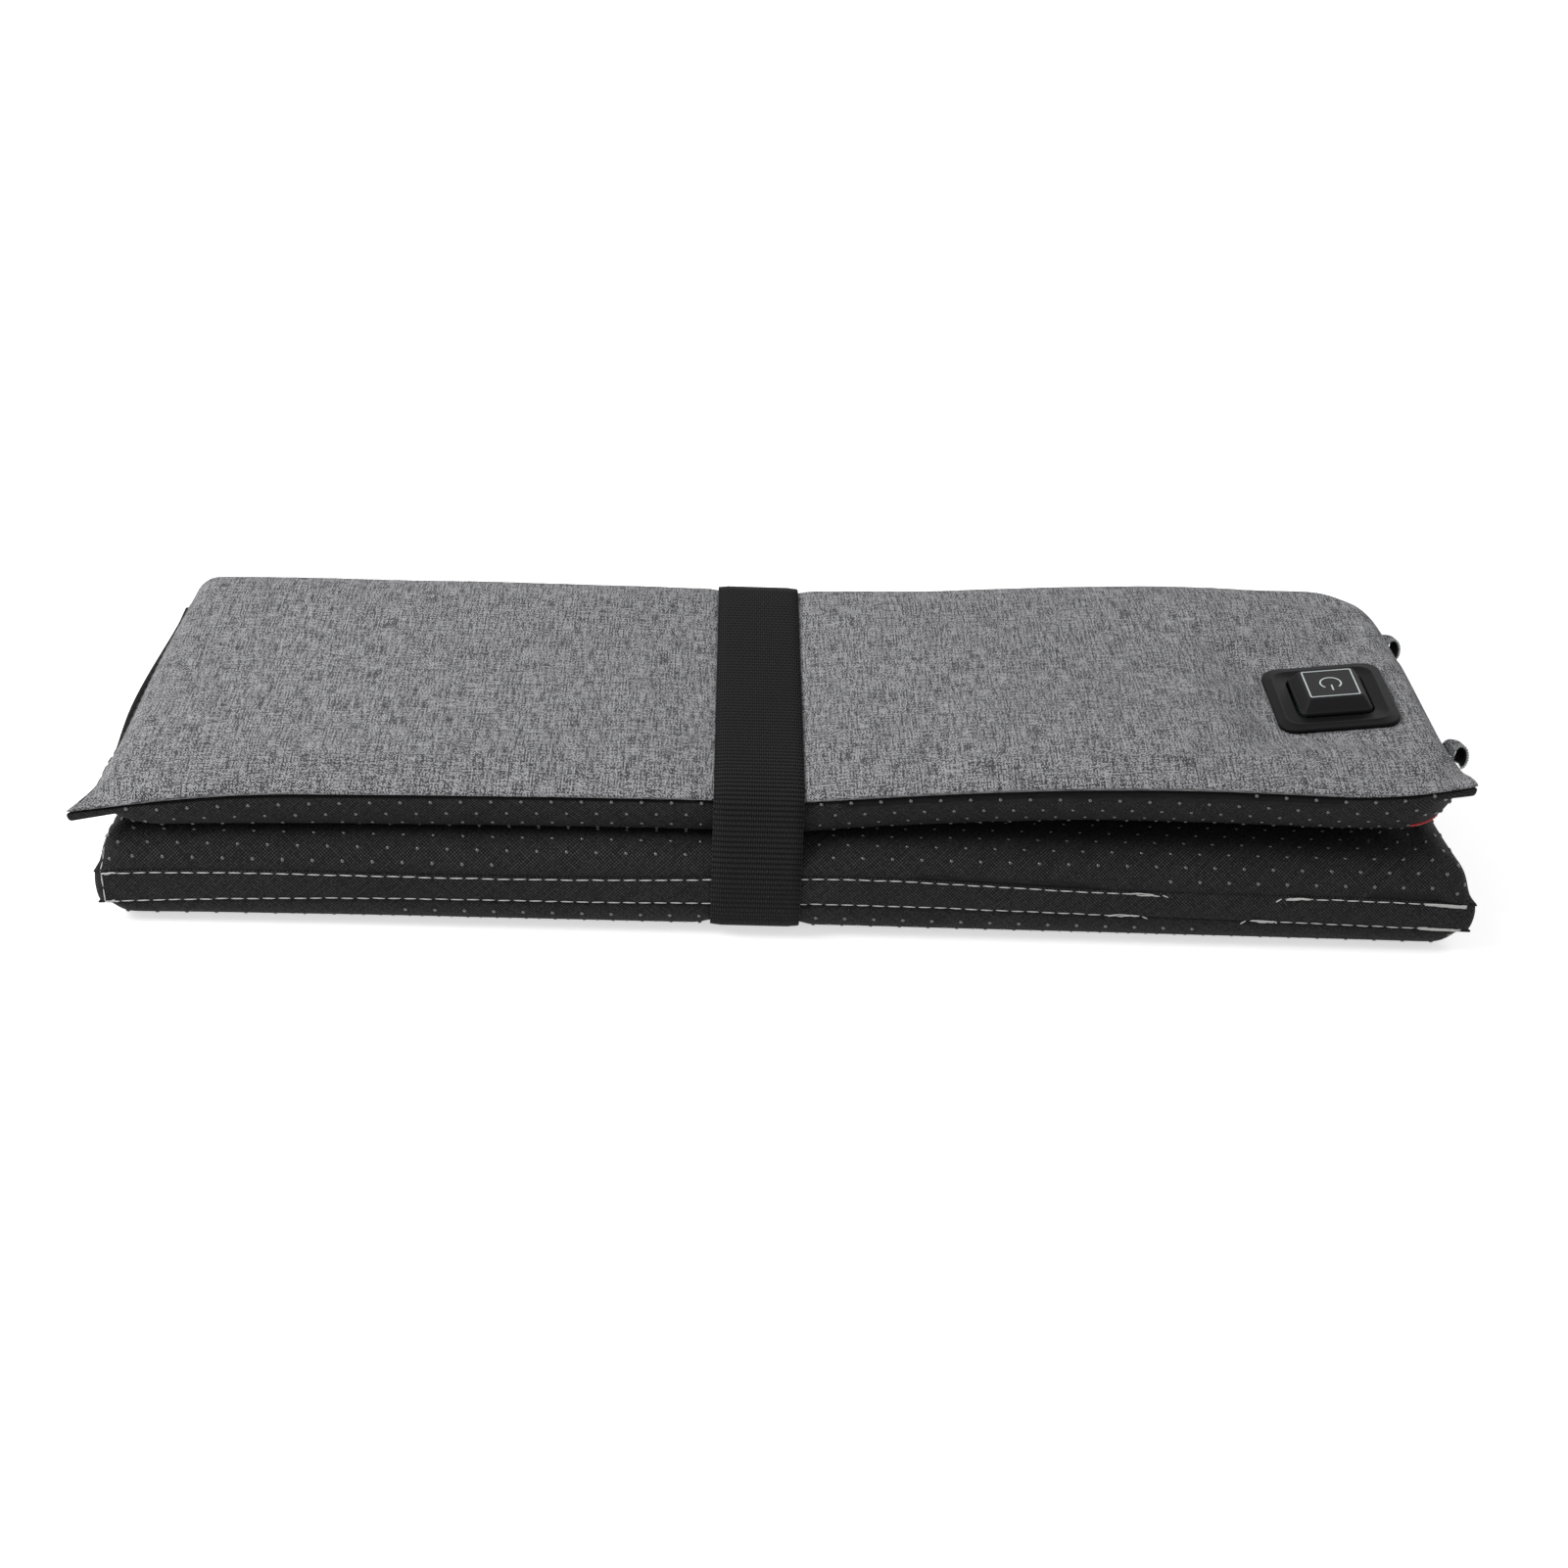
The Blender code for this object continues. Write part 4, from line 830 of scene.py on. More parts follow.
@functools.cache
def heather_material():
    """Grey linen-look cloth: light and dark threads with slubs, and painted shade in the low places of the
    weave.
    """
    sizes, colours = bpy.context.scene.cushion_sizes, bpy.context.scene.cushion_colours
    material, tree, shader = start_material("woven_heather", 0.92, 0.05, 0.15)
    weave = grouped(tree, woven_group(), cloth_place(tree), sizes.weave, 1.0)
    wear = grouped(tree, wear_group(), object_place(tree), 18.0, 0.12)
    tone = ranged(tree, weave["Tone"], 0.468, 0.536)
    warp = maths(tree, "MULTIPLY_ADD", weave["Over"], 0.5, -0.25)
    tone = maths(tree, "MULTIPLY_ADD", weave["Slubs"], 0.3, maths(tree, "ADD", tone, warp), clamp=True)
    # Painted shade: the colour is darker in the low places of the weave, from the weave's height.
    painted_weave_shade = maths(tree, "MULTIPLY_ADD", weave["Height"], 0.5, 0.62)
    colour_socket = tint(tree, tone, colours.heather_dark, colours.heather_light)
    colour_socket = shade(tree, colour_socket, maths(tree, "MULTIPLY", painted_weave_shade, wear["Factor"]))
    tree.links.new(colour_socket, shader.inputs["Base Color"])
    height = maths(tree, "MULTIPLY_ADD", weave["Slubs"], 0.5, weave["Height"])
    bump(tree, height, 0.12 * MM, shader, 0.8)
    return material


@functools.cache
def black_cloth_material():
    """Black woven non-slip cloth, with painted shade in the low places of its weave and painted light on the
    tops of its threads.
    """
    sizes, colours = bpy.context.scene.cushion_sizes, bpy.context.scene.cushion_colours
    material, tree, shader = start_material("woven_black", 0.75, 0.0, 0.1)
    place = add_node(tree, "ShaderNodeVectorRotate", cloth_place(tree), rotation_type="Z_AXIS")
    place.inputs["Angle"].default_value = math.radians(45)
    weave = grouped(tree, woven_group(), place.outputs[0], sizes.black_weave, 0.0)
    wear = grouped(tree, wear_group(), object_place(tree), 25.0, 0.2)
    # Painted shade and light: the colour goes nearly black in the weave's low places and lighter on the
    # thread tops; each thread's own tone is real.
    tone = maths(tree, "MAXIMUM", maths(tree, "MULTIPLY_ADD", weave["Height"], 4.8, -1.1), 0.05)
    tone = maths(tree, "MULTIPLY", tone, ranged(tree, weave["Tone"], 0.38, 0.62, 0.6, 1.4))
    paint(tree, shader, wear, colours.black_cloth, [3 * c for c in colours.black_cloth], tone)
    rough = maths(tree, "MULTIPLY_ADD", weave["Tone"], -0.25, 0.85)
    tree.links.new(rough, shader.inputs["Roughness"])
    bump(tree, weave["Height"], 0.16 * MM, shader, 0.9)
    return material


def webbing_material():
    """Ribbed elastic: the ribs are in the mesh, the yarns that cross them in the bump and in painted shade
    and light on the colour.
    """
    sizes, colours = bpy.context.scene.cushion_sizes, bpy.context.scene.cushion_colours
    material, tree, shader = start_material("ribbed_webbing", 0.65, 0.0, 0.12)
    place = add_node(tree, "ShaderNodeVectorMath", cloth_place(tree), (2.5, 1, 1), operation="MULTIPLY")
    weave = grouped(tree, woven_group(), place.outputs[0], sizes.rib, 0.0)
    wear = grouped(tree, wear_group(), object_place(tree), 30.0, 0.25)
    # Painted shade and light: the colour goes nearly black in the low places between yarns and lighter on
    # their tops.
    tone = maths(tree, "MAXIMUM", maths(tree, "MULTIPLY_ADD", weave["Height"], 4.2, -0.9), 0.1)
    paint(tree, shader, wear, colours.webbing, [4 * c for c in colours.webbing], tone)
    bump(tree, weave["Height"], 0.3 * MM, shader, 1.0)
    return material


def plain_material(
    name, base, roughness, grain_scale, grain, depth, sheen=0.0, metallic=0.0, specular=0.4
):
    """Rubber, thread, foam or plastic: a base colour with a fine grain in colour, roughness and bump."""
    name = f"{name}_finish"
    if name in bpy.data.materials:
        return bpy.data.materials[name]
    material, tree, shader = start_material(name, roughness, sheen, specular)
    shader.inputs["Metallic"].default_value = metallic
    place = object_place(tree)
    wear = grouped(tree, wear_group(), place, grain_scale / 30, grain)
    fine = add_node(tree, "ShaderNodeTexNoise", place, None, grain_scale, 3.0, 0.55).outputs[0]
    tone = maths(tree, "MULTIPLY_ADD", fine, 2 * grain, 1 - grain)
    paint(tree, shader, wear, base, [min(1, 1.4 * c + 0.01) for c in base], tone)
    rough = maths(tree, "MULTIPLY_ADD", fine, 0.2, roughness - 0.1, clamp=True)
    tree.links.new(rough, shader.inputs["Roughness"])
    bump(tree, fine, depth, shader, 0.5)
    return material


def thread_material(name, base):
    """Sewing thread."""
    return plain_material(name, base, 0.75, 3000.0, 0.2, 0.05 * MM, 0.2)


# Operators


class StageOperator(bpy.types.Operator):
    """Make the floor, the lamps and the camera"""

    bl_idname = "cushion.stage"
    bl_label = "Stage"

    def execute(self, context):
        stage = context.scene.cushion_stage
        context.scene.view_settings.view_transform = "Standard"
        self.make_camera(context, stage)
        self.make_floor()
        self.make_light(context, stage)
        return {"FINISHED"}

    def make_camera(self, context, stage):
        az, el, roll = stage.azimuth, stage.elevation, stage.roll
        forward = Vector((math.sin(az) * math.cos(el), math.cos(az) * math.cos(el), -math.sin(el)))
        level_right = forward.cross(Vector((0, 0, 1))).normalized()
        level_up = level_right.cross(forward)
        right = math.cos(roll) * level_right + math.sin(roll) * level_up
        up = math.cos(roll) * level_up - math.sin(roll) * level_right
        data = bpy.data.cameras.new("photo_camera")
        data.sensor_width = 36.0
        data.lens = data.sensor_width * stage.focal_pixels / IMAGE_SIDE
        data.clip_start, data.clip_end = 0.01, 50
        camera = bpy.data.objects.new("photo_camera", data)
        axes = Matrix((right, up, -forward)).transposed().to_4x4()
        eye = Vector((0, 0, stage.target_height)) - forward * stage.distance
        camera.matrix_world = Matrix.Translation(eye) @ axes
        context.scene.collection.objects.link(camera)
        context.scene.camera = camera

    def make_floor(self):
        made = bmesh.new()
        bmesh.ops.create_grid(made, x_segments=1, y_segments=1, size=4)
        bmesh.ops.translate(made, vec=(0, 0, -0.5 * MM), verts=made.verts)
        material, tree, shader = start_material("white_floor", 0.9)
        shader.inputs["Base Color"].default_value = (0.9, 0.9, 0.9, 1)
        strength = maths(tree, "MULTIPLY", seen_directly(tree), 0.6)
        glow = add_node(tree, "ShaderNodeEmission", (1, 1, 1, 1), strength).outputs[0]
        both = add_node(tree, "ShaderNodeAddShader", shader.outputs[0], glow).outputs[0]
        tree.links.new(both, tree.nodes["Material Output"].inputs["Surface"])
        object_from("white_floor", made, material)

    def make_light(self, context, stage):
        world = bpy.data.worlds.new("even_light")
        world.use_nodes = True
        context.scene.world = world
        tree = world.node_tree
        tree.nodes.clear()
        strength = maths(tree, "MULTIPLY_ADD", seen_directly(tree), 1 - stage.sky, stage.sky)
        sky = add_node(tree, "ShaderNodeBackground", (1, 1, 1, 1), strength).outputs[0]
        tree.links.new(sky, add_node(tree, "ShaderNodeOutputWorld").inputs["Surface"])
        for name, place, size, power in (
            ("key_lamp", (-0.85, -0.25, 0.95), 0.6, stage.key),
            ("back_lamp", (0.5, 0.9, 0.9), 0.7, stage.key / 4),
        ):
            data = bpy.data.lights.new(name, "AREA")
            data.shape, data.size, data.energy = "SQUARE", size, power
            lamp = bpy.data.objects.new(name, data)
            lamp.location = place
            lamp.rotation_euler = (-Vector(place)).to_track_quat("-Z", "Y").to_euler()
            context.scene.collection.objects.link(lamp)


class CoversOperator(bpy.types.Operator):
    """Make the two sewn covers of each pad"""

    bl_idname = "cushion.covers"
    bl_label = "Covers"

    def execute(self, context):
        for pad in PADS:
            for upper in (True, False):
                grey = upper == GREY_UP[pad]
                shade_name = "grey" if grey else "black"
                material = heather_material() if grey else black_cloth_material()
                piece = make_cover(f"{pad}_{shade_name}_cloth", pad, upper, material)
                node = f"{pad}_heated_cover" if grey else f"{pad}_nonslip_cover"
                settle(piece, BODY_OF_PAD[pad], "heather_cloth" if grey else "dotted_cloth", node)
        return {"FINISHED"}


class CoresOperator(bpy.types.Operator):
    """Make the foam and felt layers inside the pads"""

    bl_idname = "cushion.cores"
    bl_label = "Foam and felt"

    def execute(self, context):
        colours = context.scene.cushion_colours
        foam = plain_material("open_foam", colours.foam, 0.95, 600.0, 0.12, 0.3 * MM, 0.3)
        felt = plain_material("needled_felt", colours.felt, 0.95, 1500.0, 0.15, 0.1 * MM, 0.4)
        for pad in PADS:
            for kind, material in (("foam", foam), ("felt", felt)):
                node = f"{pad}_{kind}"
                made = bmesh.new()
                made.from_mesh(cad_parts[node].data)
                bmesh.ops.remove_doubles(made, verts=made.verts, dist=0.01 * MM)
                bmesh.ops.dissolve_limit(
                    made, angle_limit=math.radians(1), verts=made.verts, edges=made.edges
                )
                for vert in made.verts:
                    x, y, z = vert.co
                    low = cover_point(pad, False, x, y).z + CORE_ROOM
                    high = cover_point(pad, True, x, y).z - CORE_ROOM
                    vert.co.z = min(max(z, low), high)
                piece = object_from(f"{pad}_{kind}_core", made, material, smooth_faces=False)
                soft = piece.modifiers.new("soft edge", "BEVEL")
                soft.width, soft.segments, soft.limit_method = 0.15 * MM, 2, "ANGLE"
                settle(piece, BODY_OF_PAD[pad], kind, node)
        return {"FINISHED"}


class HingesOperator(bpy.types.Operator):
    """Make the cloth bands and linings that join the pads"""

    bl_idname = "cushion.hinges"
    bl_label = "Fold hinges"

    def execute(self, context):
        grey, black = (heather_material(), "heather_cloth"), (black_cloth_material(), "dotted_cloth")
        for which, side, level, lower, upper, outer, inner in (
            ("front", -1, PAD_THICKNESS, "bottom", "middle", black, grey),
            ("back", 1, 2 * PAD_THICKNESS, "middle", "top", grey, black),
        ):
            for part, share_of_height, setback, bulge, (material, slot), node in (
                ("band", 1.0, 0, 0.7 * MM, outer, "cloth"),
                ("lining_band", 0.46, LINING_SETBACK, 0.1 * MM, inner, "lining"),
            ):
                piece = self.make_band(
                    f"{which}_hinge_{part}", side, share_of_height, setback, bulge, material
                )
                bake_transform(piece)
                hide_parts(f"{which}_hinge_{node}")
        return {"FINISHED"}

    def make_band(self, name, side, height_share, setback, bulge, material):
        """A strip along the fold, a little proud between its seams, whose ends turn round the pads."""
        steps = [-1.25, -1.0, -0.75, -0.4, 0, 0.4, 0.75, 1.0, 1.25]
        rows = []
        for step in steps:
            row = []
            for x, y, out in band_path(setback, BACK_TAPER["top"] if side > 0 else 0):
                low, high = band_edges(side, x)
                swollen = bulge * (1 - min(abs(step), 1) ** 2)
                swollen *= 0.8 + 0.4 * noise.noise(Vector((x * 60, side, 3)))
                place = Vector((x, y)) + out * (swollen - (LIP if abs(step) > 1 else 0))
                if side < 0:
                    place.x += end_reach(x, y)
                height = (low + high) / 2 + (high - low) / 2 * height_share * step
                row.append(Vector((place.x, -side * place.y, height)))
            rows.append(row)
        made, places = ClothGrid(rows).bmesh_grid()
        if side > 0:
            bmesh.ops.reverse_faces(made, faces=made.faces[:])
        write_map(made, places)
        piece = object_from(name, made, material)
        thicken(piece, 0.6 * MM)
        subdivide(piece)
        return piece


class DotsOperator(bpy.types.Operator):
    """Put the non-slip dots on the black cloth"""

    bl_idname = "cushion.dots"
    bl_label = "Non-slip dots"

    def execute(self, context):
        sizes = context.scene.cushion_sizes
        # The dots' lighter grey is partly a painted highlight, standing in for glints too small to show.
        material = plain_material(
            "soft_dots", context.scene.cushion_colours.dots, 0.22, 2500.0, 0.1, 0.01 * MM, specular=1.0
        )
        for pad, upper in (("bottom", False), ("middle", True), ("top", False)):
            piece = self.make_dots(f"{pad}_dots", cover_grid(pad, upper), upper, sizes, material)
            settle(piece, BODY_OF_PAD[pad], "dotted_cloth")
        return {"FINISHED"}

    def make_dots(self, name, grid, upper, sizes, material):
        """Dots all over one cover, apart from its seams and the places that the strap covers."""
        strap_room, seam_room, end_room = 1 * MM, 0.6 * MM, 1.5 * MM
        places = []
        for place, normal in grid.lattice(sizes.dot_pitch):
            y = abs(place.y)
            under_strap = abs(place.x - STRAP_X) < STRAP_HALF + strap_room and y > 0.7 * HALF_DEPTH
            at_seam = y > HALF_DEPTH - seam_room or abs(place.x) > HALF_LENGTH - end_room
            if not under_strap and not at_seam:
                places.append((place, normal if upper else -normal))
        return object_from(name, domes(places, sizes.dot_width / 2, sizes.dot_height), material)


def domes(places, radius, height, batch=6):
    """Small domes at many places, made a few at a time because a small bmesh grows faster."""
    made = bmesh.new()
    for first in range(0, len(places), batch):
        few = bmesh.new()
        for place, normal in places[first:first + batch]:
            matrix = facing(place, normal, radius, radius, height)
            bmesh.ops.create_uvsphere(few, u_segments=8, v_segments=4, radius=1, matrix=matrix)
        part = bpy.data.meshes.new("few_domes")
        few.to_mesh(part)
        few.free()
        made.from_mesh(part)
        bpy.data.meshes.remove(part)
    return made


def polyline(points, gap):
    """Points at even distances along a line of points."""
    out, carry = [points[0]], gap
    for a, b in zip(points, points[1:]):
        span = (b - a).length
        while carry <= span:
            out.append(a.lerp(b, carry / span))
            carry += gap
        carry -= span
    return out


def thread_dash(made, start, end, radius, lift):
    """One visible stitch: a slim closed form from start to end, standing on the cloth."""
    middle, direction = (start + end) / 2 + lift * radius * 0.5, end - start
    matrix = facing(middle, direction, radius, radius, direction.length / 2)
    bmesh.ops.create_uvsphere(made, u_segments=6, v_segments=6, radius=1, matrix=matrix)


def stitch_line(made, points, lift, sizes, rng, jitter=0.08 * MM):
    """A row of stitches along a line of points."""
    step = sizes.stitch + sizes.stitch_gap
    line = polyline(points, step)
    for a, b in zip(line, line[1:]):
        wander = [Vector([rng.uniform(-jitter, jitter) for _ in range(3)]) for _ in range(2)]
        end = a.lerp(b, sizes.stitch / step)
        thread_dash(made, a + wander[0], end + wander[1], sizes.thread / 2, lift)


def back_tack(made, start, end, lift, sizes, rng, count=14, spread=0.6 * MM):
    """The sewer's back-and-forth: stitches laid over each other at the end of a row."""
    side = lift.cross(end - start).normalized()
    for _ in range(count):
        a, b = sorted((rng.random(), rng.random()))
        if b - a < 0.25:
            b = min(1, a + 0.25)
        p = start.lerp(end, a) + side * rng.uniform(-spread, spread)
        q = start.lerp(end, b) + side * rng.uniform(-spread, spread)
        thread_dash(made, p, q, sizes.thread / 2, lift * rng.uniform(1.0, 2.2))


class StitchesOperator(bpy.types.Operator):
    """Sew the visible rows of stitches"""

    bl_idname = "cushion.stitches"
    bl_label = "Stitches"

    # Where the sewer left the two front rows open: from and to, in mm along the cushion
    gaps = {"middle": (103, 141), "bottom": (98, 132)}
    row_ends = (-191.5, 190)

    def execute(self, context):
        sizes, colours = context.scene.cushion_sizes, context.scene.cushion_colours
        white = thread_material("white_thread", colours.white_thread)
        dark = thread_material("dark_thread", colours.dark_thread)
        rng = random.Random(7)
        for pad in ("middle", "bottom"):
            made = self.front_row(pad, sizes, rng)
            settle(object_from(f"{pad}_front_stitches", made, white), BODY_OF_PAD[pad], "dotted_cloth")
        x = -HALF_LENGTH + 2.6 * MM
        low, high = band_edges(-1, x)
        half_way = (low + high) / 2
        for pad, heights in (("bottom", (low, half_way)), ("middle", (half_way + 0.5 * MM, high))):
            made = bmesh.new()
            ends = [Vector((x, -HALF_DEPTH - 0.6 * MM, z)) for z in heights]
            thread_dash(made, *ends, sizes.thread / 2, FRONT)
            settle(object_from(f"{pad}_end_stitch", made, white), BODY_OF_PAD[pad], "dotted_cloth")
        for pad, upper, column, material, slot in (
            ("middle", True, 3, white, "dotted_cloth"),
            ("bottom", False, 3, white, "dotted_cloth"),
            ("top", True, 2, dark, "heather_cloth"),
        ):
            made = bmesh.new()
            line = [row[column] for row in cover_grid(pad, upper).rows]
            stitch_line(made, line, Vector((-0.3, 0, 1 if upper else -1)).normalized(), sizes, rng)
            settle(object_from(f"{pad}_left_stitches", made, material), BODY_OF_PAD[pad], slot)
        return {"FINISHED"}

    def front_row(self, pad, sizes, rng):
        """The stitches on one edge of the front hinge band, sewn back and forth where the row stops."""
        made = bmesh.new()
        opens, closes = self.gaps[pad]
        stitch_line(made, self.on_seam(pad, self.row_ends[0], opens), FRONT, sizes, rng)
        stitch_line(made, self.on_seam(pad, closes, self.row_ends[1]), FRONT, sizes, rng)
        # From and to in mm, and the number of stitches laid over each other there
        for low, high, count in (
            (opens - 7, opens + 3, 7), (closes, closes + 8, 8), (179, 191, 24), (-192, -187, 6)
        ):
            line = self.on_seam(pad, low, high)
            back_tack(made, line[0], line[-1], FRONT, sizes, rng, count, 0.45 * MM)
        for low, loose_end in ((closes - 1, (-1.6, 0, -1.3)), (opens + 3, (1.8, 0, -0.8))):
            hook = self.on_seam(pad, low, low + 1)[0]
            thread_dash(made, hook, hook + Vector(loose_end) * MM, sizes.thread / 2, FRONT)
        return made

    def on_seam(self, pad, low, high):
        """Points on a pad's front seam between two places in mm."""
        count = max(2, round((high - low) / 4))
        xs = [(low + (high - low) * i / count) * MM for i in range(count + 1)]
        y = -HALF_DEPTH - 0.1 * MM
        return [Vector((x + end_reach(x, -HALF_DEPTH), y, front_seam(pad, x))) for x in xs]


class PocketOperator(bpy.types.Operator):
    """Make the pocket's lining, its binding and the curled hems of its mouth"""

    bl_idname = "cushion.pocket"
    bl_label = "Pocket"

    def execute(self, context):
        colours = context.scene.cushion_colours
        red = plain_material("binding_tape", colours.binding, 0.8, 2500.0, 0.2, 0.05 * MM, 0.3)
        for name, node, material, slot in (
            ("pocket_lining", "pocket_liner", black_cloth_material(), "dotted_cloth"),
            ("mouth_binding", "pocket_binding", red, "binding_tape"),
        ):
            made = boxed(*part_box(node))
            sides = (-1, 1) if node == "pocket_binding" else (1,)
            ends = [face for face in made.faces if any(face.normal.x * side > 0.5 for side in sides)]
            bmesh.ops.delete(made, geom=ends, context="FACES")
            long_edges = [e for e in made.edges if abs((e.verts[0].co - e.verts[1].co).x) > MM]
            bmesh.ops.bevel(
                made, geom=long_edges, offset=1.2 * MM, segments=3, profile=0.5, affect="EDGES", material=-1
            )
            write_map(made, {vert: (vert.co.x, vert.co.y + vert.co.z) for vert in made.verts})
            piece = object_from(name, made, material)
            thicken(piece, 0.5 * MM)
            settle(piece, "top_panel", slot, node)
        for which in ("front", "back"):
            self.make_curl(which)
        self.make_tape(red)
        return {"FINISHED"}

    def make_curl(self, which):
        """A hem that has rolled up at the pocket's mouth, black inside, with overlock thread on its edge."""
        node = f"pocket_tab_{which}"
        low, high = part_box(node)
        shift = Vector((1.2, -1, 0) if which == "front" else (-2.6, 0, 0.8))
        centre = (low + high) / 2 + shift * MM
        radius, half, turn = 3.0 * MM, 3.4 * MM, math.radians(270)
        tightening, waviness, lean, climb = 0.32, 0.07, 1.6 * MM, 0.8 * MM
        made = bmesh.new()
        start = centre + Vector((-radius, -half, 0))
        verts = [made.verts.new(start + Vector((0, 2 * half * i / 8, 0))) for i in range(9)]
        edges = [made.edges.new(pair) for pair in zip(verts, verts[1:])]
        bmesh.ops.spin(
            made, geom=verts + edges, cent=centre, axis=(0, 1, 0), dvec=(0, 0, 0),
            angle=turn, steps=18, use_merge=False, use_duplicate=False,
        )
        for face in made.faces:
            out = face.calc_center_median() - centre
            out.y = 0
            if face.normal.dot(out) < 0:
                face.normal_flip()
        places = {}
        for vert in made.verts:
            across = (vert.co.y - centre.y) / half
            out = Vector((vert.co.x - centre.x, 0, vert.co.z - centre.z))
            angle = (math.pi - math.atan2(out.z, out.x)) % (2 * math.pi)
            places[vert] = (angle * radius, vert.co.y)
            vert.co -= out * (tightening * angle / turn + waviness * math.sin(5 * across + 2 * angle))
            vert.co.x -= lean * max(across, 0) ** 2
            vert.co.z += climb * across
        rim = sorted((vert for vert in made.verts if vert.co.y < centre.y - 0.9 * half), key=places.get)
        tilt = Matrix.Rotation(math.radians(-28), 4, "X") @ Matrix.Diagonal((0.85, 1, 1.2, 1))
        made.transform(Matrix.Translation(centre) @ tilt @ Matrix.Translation(-centre))
        rim_line = [vert.co.copy() for vert in rim]
        edge = sorted(made.verts, key=lambda vert: places[vert][0])[-9:]
        edge_line = [vert.co.copy() for vert in sorted(edge, key=lambda vert: vert.co.y)]
        write_map(made, places)
        piece = object_from(f"mouth_curl_{which}", made, heather_material(), black_cloth_material())
        thicken(piece, 0.7 * MM, 0, 1)
        subdivide(piece)
        settle(piece, "top_panel", "heather_cloth", node)
        thread = bmesh.new()
        rng = random.Random(11)
        pale = thread_material("overlock_thread", bpy.context.scene.cushion_colours.overlock)
        for place in rim_line:
            out = Vector((place.x - centre.x, 0, place.z - centre.z)).normalized() * 0.45 * MM
            back = tilt.to_3x3() @ Vector((0, rng.uniform(0.9, 1.5) * MM, 0))
            thread_dash(thread, place + out, place + out + back, 0.16 * MM, out.normalized())
            thread_dash(thread, place + out, place - out, 0.16 * MM, FRONT)
        for line in (edge_line, rim_line):
            for a, b in zip(line, line[1:]):
                thread_dash(thread, a, b, 0.22 * MM, Vector((0, 0, 1)))
        settle(object_from(f"mouth_overlock_{which}", thread, pale), "top_panel", "heather_cloth")

    def make_tape(self, material):
        """Bits of the red tape that show: along the mouth's lip and under the front corner."""
        proud = Vector((0.4 * MM, 0, 0))
        lip_places, corner_turns = range(-22, -11, 2), range(8, 58, 6)
        lip = [cover_point("top", True, HALF_LENGTH, y * MM) + proud for y in lip_places]
        inner = CORNER_ROUND - 4.5 * MM
        under = []
        for turn in map(math.radians, corner_turns):
            x = HALF_LENGTH - CORNER_ROUND + inner * math.sin(turn)
            y = -HALF_DEPTH + CORNER_ROUND - inner * math.cos(turn)
            under.append(cover_point("top", False, x, y))
        made = bmesh.new()
        for line, lift in ((lip, Vector((1, 0, 0.4))), (under, FRONT)):
            for a, b in zip(line, line[1:]):
                overlap = (b - a) * 0.2
                thread_dash(made, a - overlap, b + overlap, 0.42 * MM, lift * 0.6)
        settle(object_from("mouth_tape", made, material), "top_panel", "binding_tape")


